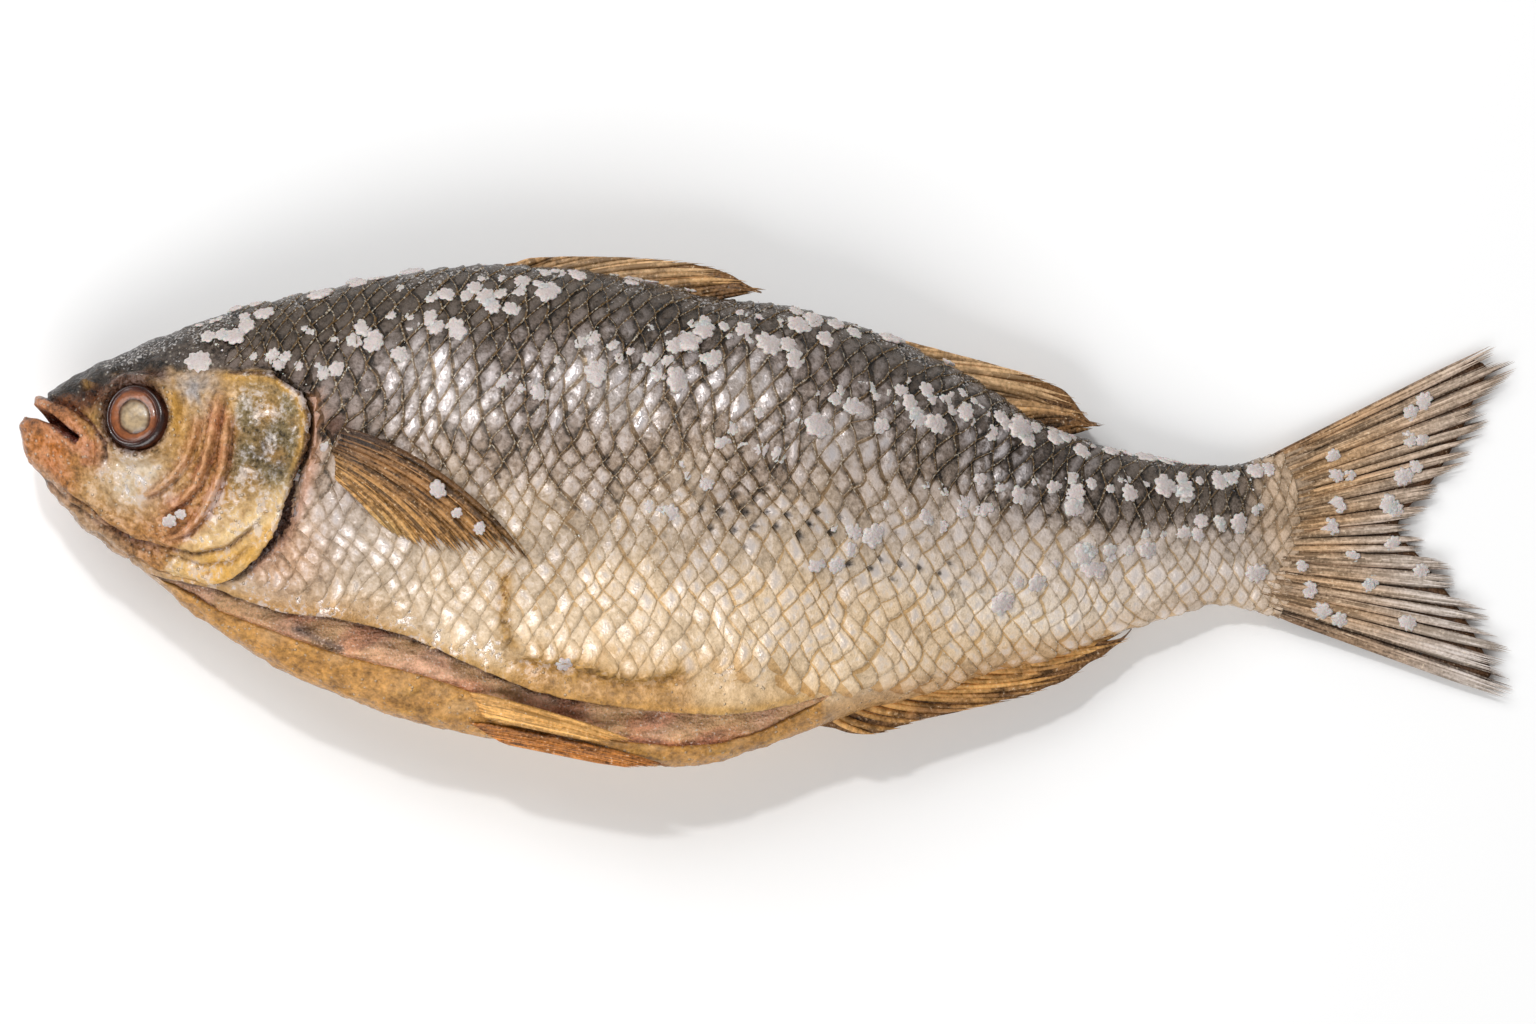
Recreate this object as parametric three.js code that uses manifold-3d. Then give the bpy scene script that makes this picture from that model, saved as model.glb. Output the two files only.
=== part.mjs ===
// A whole fermented salted fish, lying on its right side with its left flank up.
// Millimetres. +X runs from the snout to the tail, +Y from the belly to the back, and +Z up from the
// surface it lies on. The origin is the middle of its length and depth, at that surface.
import * as THREE from "three";
import { mergeVertices } from "three/addons/utils/BufferGeometryUtils.js";
import Module from "manifold-3d";

const wasm = await Module();
wasm.setup();

// ---- Driving dimensions ----

const SNOUT_X = -150;
const TAIL_ROOT_X = 110;
const WALL = 2.4; // thickness of the belly wall at the cut
const CAVITY_DEPTH = 13; // how far the slack belly cavity runs in behind the upper flap
const FLESH_SAG = 1.4; // how far the flesh inside lies below the lower flap's edge
const FLAP_DROP = 0.32; // share of its height that the lower flap has sunk by
const SQUARENESS = 0.88; // below 1, a cross-section is boxier than an ellipse
const TOP_HEAVY = 0.1; // how much wider a cross-section is at the back than at the belly
const EYE = { x: -126.4, y: 19.2, radius: 5.3, bulge: 3.9, sunk: 2.5, gap: 0.35 };
const GRAIN = { least: 1.35, most: 2.5, flatness: 0.62, candidates: 390 };

// Outline of the body in side view, without fins: x, then the height of that line.
const BACK = [
  [-150, 16.5], [-149, 19.4], [-146.4, 22.6], [-142, 26.2], [-134, 30.2], [-122, 35.4], [-108, 40.4],
  [-90, 44.9], [-70, 48.2], [-52, 49.8], [-36, 48.4], [-14, 44.2], [8, 40.6], [24, 35.2], [38, 28.2],
  [54, 19], [68, 13], [82, 10.3], [94, 9.8], [102, 12], [110, 15.5],
];
const KEEL = [
  [-150, 16.5], [-149.2, 12.5], [-146.8, 8.3], [-138, -1.9], [-125, -11.6], [-113.7, -20.9],
  [-94, -32.8], [-70, -41.6], [-45, -47], [-22, -50.4], [-10, -49.9], [2, -45.6], [12, -41.5],
  [36, -34.8], [60, -27.4], [78, -21.3], [89, -18.1], [97, -18.9], [110, -23.7],
];
// Half the body's thickness, and the height of its middle plane, which droops to the table at the tail.
const HALF_WIDTH = [
  [-150, 0], [-149, 3.6], [-146, 6.4], [-138, 10.4], [-126, 14.4], [-110, 18.2], [-92, 20.6],
  [-70, 22], [-45, 22.6], [-20, 22], [5, 20], [30, 16.4], [55, 12.2], [80, 8.2], [95, 5.9], [104, 4.3],
  [110, 2.1],
];
const MIDDLE = [
  [-150, 20.6], [-130, 21.6], [-105, 22.2], [-80, 22.4], [-50, 21.8], [-20, 21.2], [5, 19.3],
  [30, 15.7], [55, 11.6], [80, 7.7], [95, 5.4], [104, 3.9], [110, 3], [125, 1.9], [150, 1.3],
];
// The belly cut, from the throat to the vent: its upper and lower edges in side view.
const UPPER_EDGE = [
  [-123.5, -11.9], [-112, -14.2], [-98, -18.9], [-86, -20.3], [-70, -25.1], [-50, -33.8],
  [-40, -36.8], [-17, -39.4], [-4, -39.4], [12.5, -36],
];
const LOWER_EDGE = [
  [-123.5, -11.9], [-116, -16.6], [-109.5, -20.6], [-99, -24.2], [-84, -29.2], [-64, -34.6],
  [-42, -43.2], [-26, -46.5], [-13, -47.1], [-3.5, -45.4], [7.5, -39.6], [12.5, -36],
];
const FULL_GAPE = 3.2; // gap between the edges from which the cavity has its full depth

// ---- Curves and the body's surface ----

// A smooth curve through points of [x, value], flat beyond both ends.
function curve(points) {
  const slopes = points.map((_, i) => {
    const [x0, y0] = points[Math.max(i - 1, 0)];
    const [x1, y1] = points[Math.min(i + 1, points.length - 1)];
    return (y1 - y0) / (x1 - x0);
  });
  return (x) => {
    const last = points.length - 1;
    if (x <= points[0][0]) return points[0][1];
    if (x >= points[last][0]) return points[last][1];
    const i = points.findIndex(([px]) => px > x) - 1;
    const [x0, y0] = points[i];
    const [x1, y1] = points[i + 1];
    const span = x1 - x0;
    const t = (x - x0) / span;
    const rise = t * t * (3 - 2 * t);
    return y0 + (y1 - y0) * rise + span * t * (1 - t) * ((1 - t) * slopes[i] - t * slopes[i + 1]);
  };
}

const mix = (a, b, t) => a + (b - a) * t;
const clamp = (v, low, high) => Math.min(Math.max(v, low), high);
const smooth = (t) => t * t * (3 - 2 * t);
const fraction = (v) => v - Math.floor(v);

const back = curve(BACK);
const keel = curve(KEEL);
const halfWidth = curve(HALF_WIDTH);
const middle = curve(MIDDLE);
const upperEdge = curve(UPPER_EDGE);
const lowerEdge = curve(LOWER_EDGE);

// How open the belly cut is at x, from 0 to 1.
function openness(x) {
  return smooth(clamp((upperEdge(x) - lowerEdge(x)) / FULL_GAPE, 0, 1));
}

// The angle round the section at x, from the back over the upper flank, at which the skin has height y.
function angleAt(x, y) {
  const centre = (back(x) + keel(x)) / 2;
  const half = Math.max((back(x) - keel(x)) / 2, 1e-6);
  return Math.acos(clamp((y - centre) / half, -0.97, 0.97));
}

// A point of the skin at x, at an angle round the section: 0 at the back, half a turn at the keel.
// Past half a turn it is the underside, which is flat where it meets the table.
function skin(x, angle, drop = 0) {
  const centre = (back(x) + keel(x)) / 2;
  const half = (back(x) - keel(x)) / 2;
  const across = Math.sin(angle);
  const out = Math.sign(across) * Math.abs(across) ** SQUARENESS * (1 + TOP_HEAVY * Math.cos(angle));
  const z = middle(x) + halfWidth(x) * out * (1 - drop);
  return [x, centre + half * Math.cos(angle), Math.max(z, 0)];
}

// Height of the skin over a point of the side view, on the upper side (+1) or the underside (-1).
function skinZ(x, y, side = 1) {
  const low = side > 0 && y < lowerEdge(x) + 0.01 ? FLAP_DROP * openness(x) : 0;
  return skin(x, side * angleAt(x, y), low)[2];
}

// ---- Closed meshes from grids of points ----

const lerpPoint = (a, b, t) => a.map((v, i) => mix(v, b[i], t));

// A solid from rings of points, each closed round, capped by a fan at both ends.
function loft(rings) {
  const count = rings[0].length;
  const points = rings.flat();
  const faces = [];
  for (let i = 0; i + 1 < rings.length; i++) {
    for (let j = 0; j < count; j++) {
      const a = i * count + j;
      const b = i * count + ((j + 1) % count);
      faces.push([a, b, a + count], [b, b + count, a + count]);
    }
  }
  const cap = (ring, start, flip) => {
    const centre = points.length;
    points.push(ring.reduce((sum, p) => sum.map((v, k) => v + p[k] / count), [0, 0, 0]));
    for (let j = 0; j < count; j++) {
      const pair = [start + j, start + ((j + 1) % count)];
      faces.push(flip ? [centre, pair[1], pair[0]] : [centre, pair[0], pair[1]]);
    }
  };
  cap(rings[0], 0, true);
  cap(rings.at(-1), (rings.length - 1) * count, false);
  return solid(points, faces);
}

// A plate over a grid of the side view: place(u, v) gives x, y and the heights of its two faces.
function plate(stepsU, stepsV, place) {
  const across = stepsV + 1;
  const spots = [];
  for (let i = 0; i <= stepsU; i++) {
    for (let j = 0; j <= stepsV; j++) spots.push(place(i / stepsU, j / stepsV));
  }
  const under = spots.length;
  const upperFace = spots.map(({ x, y, high }) => [x, y, high]);
  const lowerFace = spots.map(({ x, y, low }) => [x, y, low]);
  const points = [...upperFace, ...lowerFace];
  const faces = [];
  for (let i = 0; i < stepsU; i++) {
    for (let j = 0; j < stepsV; j++) {
      const a = i * across + j;
      faces.push([a, a + across, a + 1], [a + 1, a + across, a + across + 1]);
      faces.push([under + a, under + a + 1, under + a + across]);
      faces.push([under + a + 1, under + a + across + 1, under + a + across]);
    }
  }
  const wall = (a, b) => faces.push([a, b, under + a], [b, under + b, under + a]);
  for (let i = 0; i < stepsU; i++) {
    wall((i + 1) * across, i * across);
    wall(i * across + stepsV, (i + 1) * across + stepsV);
  }
  for (let j = 0; j < stepsV; j++) {
    wall(j, j + 1);
    wall(stepsU * across + j + 1, stepsU * across + j);
  }
  return solid(points, faces);
}

// A manifold solid from points and triangles, with doubled points joined and turned to face outwards.
function solid(points, faces) {
  const geometry = new THREE.BufferGeometry();
  geometry.setAttribute("position", new THREE.Float32BufferAttribute(points.flat(), 3));
  geometry.setIndex(faces.flat());
  return solidOf(geometry);
}

function solidOf(geometry) {
  const bare = geometry.clone();
  bare.deleteAttribute("normal");
  bare.deleteAttribute("uv");
  const merged = mergeVertices(bare, 1e-4);
  const kept = [];
  const index = merged.index.array;
  for (let i = 0; i < index.length; i += 3) {
    const [a, b, c] = index.subarray(i, i + 3);
    if (a !== b && b !== c && c !== a) kept.push(a, b, c);
  }
  const vertProperties = merged.attributes.position.array;
  const made = new wasm.Manifold(
    new wasm.Mesh({ numProp: 3, vertProperties, triVerts: new Uint32Array(kept) }),
  );
  if (made.volume() > 0) return made;
  const turned = new Uint32Array(kept).reverse();
  return new wasm.Manifold(new wasm.Mesh({ numProp: 3, vertProperties, triVerts: turned }));
}

function meshOf(name, made, material) {
  const { numProp, numVert, vertProperties, triVerts } = made.getMesh();
  const positions = new Float32Array(numVert * 3);
  for (let i = 0; i < numVert; i++) {
    positions.set(vertProperties.subarray(i * numProp, i * numProp + 3), i * 3);
  }
  const geometry = new THREE.BufferGeometry();
  geometry.setAttribute("position", new THREE.BufferAttribute(positions, 3));
  geometry.setIndex(new THREE.BufferAttribute(triVerts, 1));
  geometry.computeVertexNormals();
  const mesh = new THREE.Mesh(geometry, material);
  mesh.name = name;
  return mesh;
}

// ---- Trunk and head, with the cut belly ----

// One ring: the upper skin, the cavity behind the cut, then the lower flap, keel and underside.
function bodyRing(x) {
  const [topSteps, flapSteps, underSteps] = [13, 3, 16];
  const open = openness(x);
  const upper = angleAt(x, upperEdge(x));
  const lower = open > 0 ? Math.max(angleAt(x, lowerEdge(x)), upper) : upper;
  const drop = FLAP_DROP * open;
  const ring = [];
  for (let i = 0; i <= topSteps; i++) ring.push(skin(x, (upper * i) / topSteps));
  const edge = ring.at(-1);
  const far = skin(x, lower, drop);
  const deep = edge[1] + CAVITY_DEPTH;
  const flesh = far[2] - FLESH_SAG;
  const roof = Math.max(edge[2] - WALL, flesh + 0.6);
  const cavity = [
    [x, edge[1] + 0.4, roof],
    [x, mix(edge[1], deep, 0.6), mix(flesh, roof, 0.9)],
    [x, deep, mix(flesh, roof, 0.5)],
    [x, mix(edge[1], deep, 0.6), mix(flesh, roof, 0.1)],
    [x, edge[1] + 1, flesh],
  ];
  cavity.forEach((p) => ring.push(lerpPoint(edge, p, open)));
  for (let i = 0; i <= flapSteps; i++) ring.push(skin(x, mix(lower, Math.PI, i / flapSteps), drop));
  for (let i = 1; i < underSteps; i++) ring.push(skin(x, Math.PI * (1 + i / underSteps)));
  return ring;
}

function body() {
  const steps = 60;
  const crowding = 1.22; // above 1, the rings crowd towards the snout
  const rings = [];
  for (let i = 0; i <= steps; i++) {
    rings.push(bodyRing(mix(SNOUT_X, TAIL_ROOT_X, (i / steps) ** crowding)));
  }
  return loft(rings);
}

// A gill cover: a plate over the cheek whose rear edge stands clear of the shoulder.
const COVER_REAR = [
  [0, -101], [0.2, -93.5], [0.4, -91.4], [0.6, -93.6], [0.8, -99.5], [0.92, -106.5], [1, -116],
];
const COVER_TOP = 28.4;
const COVER_BOTTOM = -13.6;
const COVER_LIFT = 1.3;

function gillCover(side) {
  const rear = curve(COVER_REAR);
  return plate(5, 9, (u, v) => {
    const y = mix(COVER_TOP, COVER_BOTTOM, v);
    const x = mix(rear(v) - 21 * Math.sin(Math.PI * v) ** 0.5 - 4, rear(v), u);
    const surface = skinZ(x, Math.max(y, keel(x) + 1.2), side);
    const lift = COVER_LIFT * smooth(u) * Math.sin(Math.PI * mix(0.06, 0.94, v)) ** 0.4;
    const outer = Math.max(surface + side * (lift + 0.05), 0);
    const inner = surface - side * 2.5;
    return { x, y, high: Math.max(outer, inner), low: Math.min(outer, inner) };
  });
}

// A groove cut into the flank along a path of [x, y, width], to the given depth.
function groove(path, depth, side) {
  return loft(
    path.map(([x, y, width], i) => {
      const [ax, ay] = path[Math.max(i - 1, 0)];
      const [bx, by] = path[Math.min(i + 1, path.length - 1)];
      const long = Math.hypot(bx - ax, by - ay);
      const [nx, ny] = [((by - ay) / long) * width * 0.5, (-(bx - ax) / long) * width * 0.5];
      const surface = skinZ(x, y, side);
      const [inner, outer] = [surface - side * depth, surface + side * 6];
      const [near, far] = [[x - nx, y - ny], [x + nx, y + ny]];
      const corners = [[...near, outer], [...far, outer], [...far, inner], [...near, inner]];
      return side > 0 ? corners : corners.reverse();
    }),
  );
}

// The gill slit, just behind the cover's rear edge and widest near its foot.
const GILL_SLIT = [
  [-95.4, 26, 0.9], [-91.3, 18, 1], [-90.4, 11, 1.1], [-92, 4, 1.6], [-94.3, -1.5, 2.4],
  [-98, -7, 1.8], [-103, -12.4, 1],
];

// The open mouth, cut straight through the snout from side to side.
function mouth() {
  const outline = [
    [-158, 27], [-147.2, 26.5], [-146, 21.2], [-143, 19.9], [-137.2, 15.1], [-143.4, 17.7],
    [-148, 19], [-158, 18.6],
  ];
  const shape = new THREE.Shape(outline.map(([x, y]) => new THREE.Vector2(x, y)));
  return solidOf(new THREE.ExtrudeGeometry(shape, { depth: 60, bevelEnabled: false }));
}

// An eyeball, or with a gap the socket that holds it.
function eyeball(side, gap = 0) {
  const { x, y, radius, bulge, sunk } = EYE;
  const ball = new THREE.SphereGeometry(1, 14, 9);
  ball.scale(radius + gap, radius * 1.04 + gap, bulge + gap);
  ball.translate(x, y, skinZ(x, y, side) - side * sunk);
  return solidOf(ball);
}

// ---- Fins: plates with raised rays ----

const ray = (v, count) => Math.cos(2 * Math.PI * count * v);

// A fin that stands in the middle plane, from inside the body out to a free edge.
function middleFin(from, to, root, edge, rays) {
  return plate(10, 4, (u, v) => {
    const x = mix(from, to, u);
    const y = mix(root(x), edge(x), v);
    const half = mix(1.5, 0.55, v) + 0.14 * ray(v - u * 0.4, rays) * smooth(clamp(v * 2, 0, 1));
    return { x, y, low: Math.max(middle(x) - half, 0), high: middle(x) + half };
  });
}

function firstDorsal() {
  const edge = curve([[-54, 50], [-43, 51.4], [-27, 51.2], [-14, 50.3], [-7, 48.2], [1.6, 43.9]]);
  return middleFin(-54, 1.6, (x) => back(x) - 2.5, edge, 3);
}

function secondDorsal() {
  const edge = curve([[21, 36.6], [32, 33.6], [46, 30.1], [54, 27.2], [63, 21.9], [69, 16.9]]);
  return middleFin(21, 69, (x) => back(x) - 2.5, edge, 3);
}

function analFin() {
  const edge = curve([
    [10, -42.6], [21, -43.8], [32, -40.8], [45, -38.2], [55, -35.6], [64, -31.5], [76.2, -22.8],
  ]);
  return middleFin(10, 76.2, (x) => keel(x) + 2.5, edge, 3);
}

// The forked tail: rays fan out from the tail root, and their tips make the ragged fork.
const TAIL_TIP_X = curve([
  [0, 150], [0.1, 147.4], [0.22, 142.6], [0.36, 136.4], [0.5, 129.4], [0.62, 133.4], [0.76, 140.4],
  [0.9, 146.8], [1, 149.6],
]);
const TAIL_TIP_Y = curve([
  [0, 31.4], [0.1, 26], [0.22, 17.5], [0.36, 7.4], [0.5, -2], [0.62, -7.2], [0.76, -15.6],
  [0.9, -25.8], [1, -35.2],
]);

function tailSpot(u, v) {
  const root = [102.5, mix(12.4, -20.6, v)];
  const waist = 0.9 * Math.sin(Math.PI * u) * (2 * v - 1); // the outer rays bow a little inwards
  const reach = u * (1 - 0.035 * Math.abs(ray(v, 6)) * (u > 0.99 ? 1 : 0));
  return [mix(root[0], TAIL_TIP_X(v), reach), mix(root[1], TAIL_TIP_Y(v), reach) + waist];
}

function tailFin() {
  return plate(5, 24, (u, v) => {
    const [x, y] = tailSpot(u, v);
    const half = mix(1.5, 0.5, u) + 0.18 * ray(v, 12);
    return { x, y, low: Math.max(middle(x) - half, 0), high: Math.max(middle(x), 0.7) + half };
  });
}

// A paired fin that lies along the flank: base and tip are each a pair of corners, upper then lower.
function pairedFin(base, tip, bow, side, lift, rays, surface) {
  return plate(5, 2 * rays, (u, v) => {
    const from = lerpPoint(base[0], base[1], v);
    const to = lerpPoint(tip[0], tip[1], v);
    const x = mix(from[0], to[0], u);
    const y = mix(from[1], to[1], u) + bow * Math.sin(Math.PI * u) * (1 - v);
    const height = surface(x, y);
    const proud = lift * (1 - 0.45 * u) + 0.15 * ray(v, rays);
    const outer = Math.max(height + side * proud, 0);
    const inner = height - side * 1.6;
    return { x, y, high: Math.max(outer, inner), low: Math.min(outer, inner) };
  });
}

function pectoralFin(side) {
  const base = [[-86.6, 19.2], [-84, 5]];
  const tip = [[-46.6, -9.2], [-73.4, -6.6]];
  return pairedFin(base, tip, 5.6, side, side > 0 ? 1.6 : 1, 5, (x, y) => skinZ(x, y, side));
}

// Both pelvic fins lie on the lower flap, below the cut.
const flapZ = (x, y) => skinZ(x, clamp(y, keel(x) + 0.8, lowerEdge(x)));

function pelvicFins() {
  const near = pairedFin([[-62, -36], [-58, -40.6]], [[-27, -44.4], [-26.2, -46.4]], 1.8, 1, 1.7, 3, flapZ);
  const far = pairedFin([[-60, -42.6], [-54, -45.6]], [[-20.4, -49.2], [-18.6, -51.2]], -0.6, 1, 1, 3, flapZ);
  return [near, far];
}

// ---- Salt grains, fused to the skin ----

// How thickly salt lies at x and at a share of the depth below the back, from 0 to 1.
function saltiness(x, below) {
  const bell = (v, centre, spread) => Math.exp(-(((v - centre) / spread) ** 2));
  const alongBack = bell(below, 0.08, 0.14) * smooth(clamp((x + 128) / 26, 0, 1));
  const midFlank = 0.34 * bell(below, 0.42, 0.22) * bell(x, 10, 55);
  const nearTail = 0.5 * bell(below, 0.5, 0.3) * bell(x, 62, 34);
  return Math.min(alongBack + midFlank + nearTail, 1);
}

// A flattened crystal, turned to lie on the skin.
function grain(at, normal, radius, turn) {
  const shape = new THREE.SphereGeometry(1, 6, 2);
  shape.rotateX(Math.PI / 2);
  shape.rotateZ(turn);
  shape.scale(radius, radius, radius * GRAIN.flatness);
  const facing = new THREE.Vector3(...normal).normalize();
  shape.applyQuaternion(new THREE.Quaternion().setFromUnitVectors(new THREE.Vector3(0, 0, 1), facing));
  shape.translate(...at);
  return solidOf(shape);
}

// Four numbers from 0 to 1, each moved on by its own irrational step, spread the grains evenly.
const STEPS = [0.8566748838, 0.7338918567, 0.6287067210, 0.5385972572];
function* scatter(count) {
  for (let k = 1; k <= count; k++) {
    yield STEPS.map((step) => fraction(0.5 + k * step));
  }
}

function grains() {
  const made = [];
  for (const [a, b, c, d] of scatter(GRAIN.candidates)) {
    const x = mix(-126, 100, a);
    const angle = mix(-0.12, 2.1, b);
    const [, y, z] = skin(x, angle);
    const below = (back(x) - y) / (back(x) - keel(x));
    if (c > saltiness(x, below) * 0.42 || y < upperEdge(x) + 4) continue;
    const ahead = skin(x + 0.5, angle);
    const round = skin(x, angle + 0.02);
    const normal = new THREE.Vector3()
      .subVectors(new THREE.Vector3(...round), new THREE.Vector3(x, y, z))
      .cross(new THREE.Vector3().subVectors(new THREE.Vector3(...ahead), new THREE.Vector3(x, y, z)))
      .normalize();
    if (normal.dot(new THREE.Vector3(0, y, z - middle(x))) < 0) normal.negate();
    made.push(grain([x, y, z], normal.toArray(), mix(GRAIN.least, GRAIN.most, d * d), 6.3 * d));
  }
  return made;
}

function tailGrains() {
  const made = [];
  for (const [a, b, , d] of scatter(9)) {
    const u = mix(0.1, 0.85, a);
    const [x, y] = tailSpot(u, mix(0.06, 0.94, b));
    const radius = mix(GRAIN.least, 2, d);
    made.push(grain([x, y, Math.max(middle(x), 0.7) + mix(1.5, 0.5, u)], [0, 0, 1], radius, 6.3 * d));
  }
  return made;
}

// ---- The whole fish ----

const SIDES = [1, -1];

function fish() {
  const joined = wasm.Manifold.union([
    body(),
    ...SIDES.map(gillCover),
    firstDorsal(),
    secondDorsal(),
    analFin(),
    tailFin(),
    ...SIDES.map(pectoralFin),
    ...pelvicFins(),
    ...grains(),
    ...tailGrains(),
  ]);
  const cuts = wasm.Manifold.union([
    mouth(),
    ...SIDES.map((side) => groove(GILL_SLIT, 3.2, side)),
    ...SIDES.map((side) => eyeball(side, EYE.gap)),
  ]);
  return joined.subtract(cuts);
}

const flesh = new THREE.MeshStandardMaterial({ color: 0xa58f7c, roughness: 0.4, metalness: 0 });
const eyeStuff = new THREE.MeshStandardMaterial({ color: 0x9a7257, roughness: 0.2, metalness: 0 });

const group = new THREE.Group();
group.add(meshOf("fish", fish(), flesh));
group.add(meshOf("eye_left", eyeball(1), eyeStuff));
group.add(meshOf("eye_right", eyeball(-1), eyeStuff));

export default group;
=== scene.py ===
"""The looks of a whole fermented salted fish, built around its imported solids.

The fish lies on its right side. Shapes are worked out in millimetres in the part's own frame: +X from the
snout to the tail, +Y from the belly to the back, +Z up from the table. A spot on a flank is named by its
place in side view, (x, y), or by x and the angle round the section: 0 at the back, half a turn at the keel,
and negative on the underside.
"""

import math

import bmesh
import bpy
import numpy as np
from bpy.props import FloatProperty, FloatVectorProperty, IntProperty, PointerProperty
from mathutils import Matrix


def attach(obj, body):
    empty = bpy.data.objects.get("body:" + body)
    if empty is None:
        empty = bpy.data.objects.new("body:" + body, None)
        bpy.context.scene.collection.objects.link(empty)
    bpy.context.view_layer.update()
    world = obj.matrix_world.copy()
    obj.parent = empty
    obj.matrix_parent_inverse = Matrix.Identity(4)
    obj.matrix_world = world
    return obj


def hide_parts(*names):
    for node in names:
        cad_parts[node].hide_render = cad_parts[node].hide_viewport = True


bl_info = {
    "name": "Salted fish",
    "version": (1, 0, 0),
    "blender": (4, 5, 0),
    "location": "3D View > Sidebar > Salted fish",
    "description": "Builds a whole fermented salted fish round its packed solids",
    "category": "Add Mesh",
}

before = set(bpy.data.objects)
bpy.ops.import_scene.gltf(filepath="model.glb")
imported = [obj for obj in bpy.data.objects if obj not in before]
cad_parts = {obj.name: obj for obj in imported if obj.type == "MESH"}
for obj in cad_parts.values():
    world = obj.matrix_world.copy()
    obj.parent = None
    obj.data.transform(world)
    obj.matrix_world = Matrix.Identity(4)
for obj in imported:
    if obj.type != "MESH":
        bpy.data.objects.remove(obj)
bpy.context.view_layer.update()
MM = 0.001

# ---- The body's form, as in the solids ----

SNOUT_X = -150.0
TAIL_ROOT_X = 110.0
LOWEST_SKIN = 0.05  # nothing of the skin comes nearer to the table than this
LOWEST_FIN = 0.04
FLAP_DROP = 0.32  # the share of its thickness by which the lower flap lies flatter
SQUARENESS = 0.88  # the power of the section's sine; below 1 the flanks are fuller
TOP_HEAVY = 0.1  # how much wider the section is towards the back
FULL_GAPE = 3.2  # the height of the cut from which it counts as fully open
BACK = [
    (-150, 16.5), (-149, 19.4), (-146.4, 22.6), (-142, 26.2), (-134, 30.2), (-122, 35.4), (-108, 40.4),
    (-90, 44.9), (-70, 48.2), (-52, 49.8), (-36, 48.4), (-14, 44.2), (8, 40.6), (24, 35.2), (38, 28.2),
    (54, 19), (68, 13), (82, 10.3), (94, 9.8), (102, 12), (110, 15.5),
]
KEEL = [
    (-150, 16.5), (-149.2, 12.5), (-146.8, 8.3), (-138, -1.9), (-125, -11.6), (-113.7, -20.9),
    (-94, -32.8), (-70, -41.6), (-45, -47), (-22, -50.4), (-10, -49.9), (2, -45.6), (12, -41.5),
    (36, -34.8), (60, -27.4), (78, -21.3), (89, -18.1), (97, -18.9), (110, -23.7),
]
HALF_WIDTH = [
    (-150, 0), (-149, 3.6), (-146, 6.4), (-138, 10.4), (-126, 14.4), (-110, 18.2), (-92, 20.6), (-70, 22),
    (-45, 22.6), (-20, 22), (5, 20), (30, 16.4), (55, 12.2), (80, 8.2), (95, 5.9), (104, 4.3), (110, 2.1),
]
MIDDLE = [
    (-150, 20.6), (-130, 21.6), (-105, 22.2), (-80, 22.4), (-50, 21.8), (-20, 21.2), (5, 19.3),
    (30, 15.7), (55, 11.6), (80, 7.7), (95, 5.4), (104, 3.9), (110, 3), (125, 1.9), (150, 1.3),
]
UPPER_EDGE = [
    (-123.5, -11.9), (-112, -14.2), (-98, -18.9), (-86, -20.3), (-70, -25.1), (-50, -33.8),
    (-40, -36.8), (-17, -39.4), (-4, -39.4), (12.5, -36),
]
LOWER_EDGE = [
    (-123.5, -11.9), (-116, -16.6), (-109.5, -20.6), (-99, -24.2), (-84, -29.2), (-64, -34.6),
    (-42, -43.2), (-26, -46.5), (-13, -47.1), (-3.5, -45.4), (7.5, -39.6), (12.5, -36),
]

# ---- Lines on the head and trunk, in side view ----

EYE = (-126.3, 19.4)
EYE_REACH = 6.3
EYE_TALLNESS = 1.05
NOSTRIL = (-136.6, 25.4)
FIN_KNOB = (-86.4, 17.5)  # the root of the breast fin
GILL_COVER = [  # the free edge of the gill cover, from its top round to the throat
    (-107.1, 28), (-98.6, 27.6), (-92.9, 23.5), (-91.5, 19.1), (-92.1, 13.3), (-94.1, 8.3), (-96.3, 2.9),
    (-98.5, -3.3), (-102.5, -8.7), (-107.1, -12.4), (-111, -13.5), (-115.9, -12.7), (-122.7, -10.5),
    (-127.1, -8.3),
]
SHOULDER_RIM = [(-91, 25), (-90.3, 20.5), (-91.1, 10.1), (-92.8, 3), (-97, -5.2), (-104.9, -12.1)]
MOUTH = [(-153, 21.6), (-146.2, 20.4), (-143.7, 19.1), (-141.2, 17.3), (-137.8, 15.0)]
UPPER_LIP = [(-147.4, 23.6), (-144, 21.3), (-141, 19.9), (-137.9, 17.4), (-136.6, 14.1), (-136.6, 9.2)]
LOWER_LIP = [(-150.5, 17.5), (-147.6, 18), (-143.6, 17.4), (-140.2, 15), (-137.6, 12.6)]
LIP_CREASE = [(-147, 24.8), (-144, 23.4), (-139.7, 21.9), (-134.9, 17.6), (-132.3, 14.3), (-132.9, 9.6)]
LIP_FOLD = [(-134.9, 16.3), (-133.7, 13.3), (-134, 9.3)]
LIP_GROOVE = [(-135.4, 15.5), (-135.2, 12.4), (-135.6, 9)]
BROW = [(-141, 23.5), (-134, 25.5), (-126, 28), (-118, 28.6)]
GILT_STREAK = [(-119.6, 25), (-118.2, 21), (-119, 15.6)]
CROWN_EDGE = [(-150, 23), (-141, 23.6), (-134, 26.4), (-122, 29.4), (-112, 29.6), (-98, 28.6)]
JAW_TOP = [(-150, 10), (-125, 0), (-100, 2)]
COVER_FRONT = [(-14, -122), (-8, -119), (-3, -115.5), (3, -112), (10, -108.5), (22, -106)]  # x at each y
JAW_CREASE = [(-148.3, 10.7), (-145.4, 6.7), (-139.7, 1.9), (-133.2, -2.8), (-127.1, -6.3), (-121, -9)]
CHEEK_FOLD = [
    (-143.6, 7.2), (-139.7, 3.7), (-134.9, 0.2), (-131.4, -2.8), (-126.2, -5.4), (-121, -6.7),
    (-114.9, -8.1), (-108, -6.7), (-101.9, -1.9), (-98.6, 2.6),
]
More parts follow.
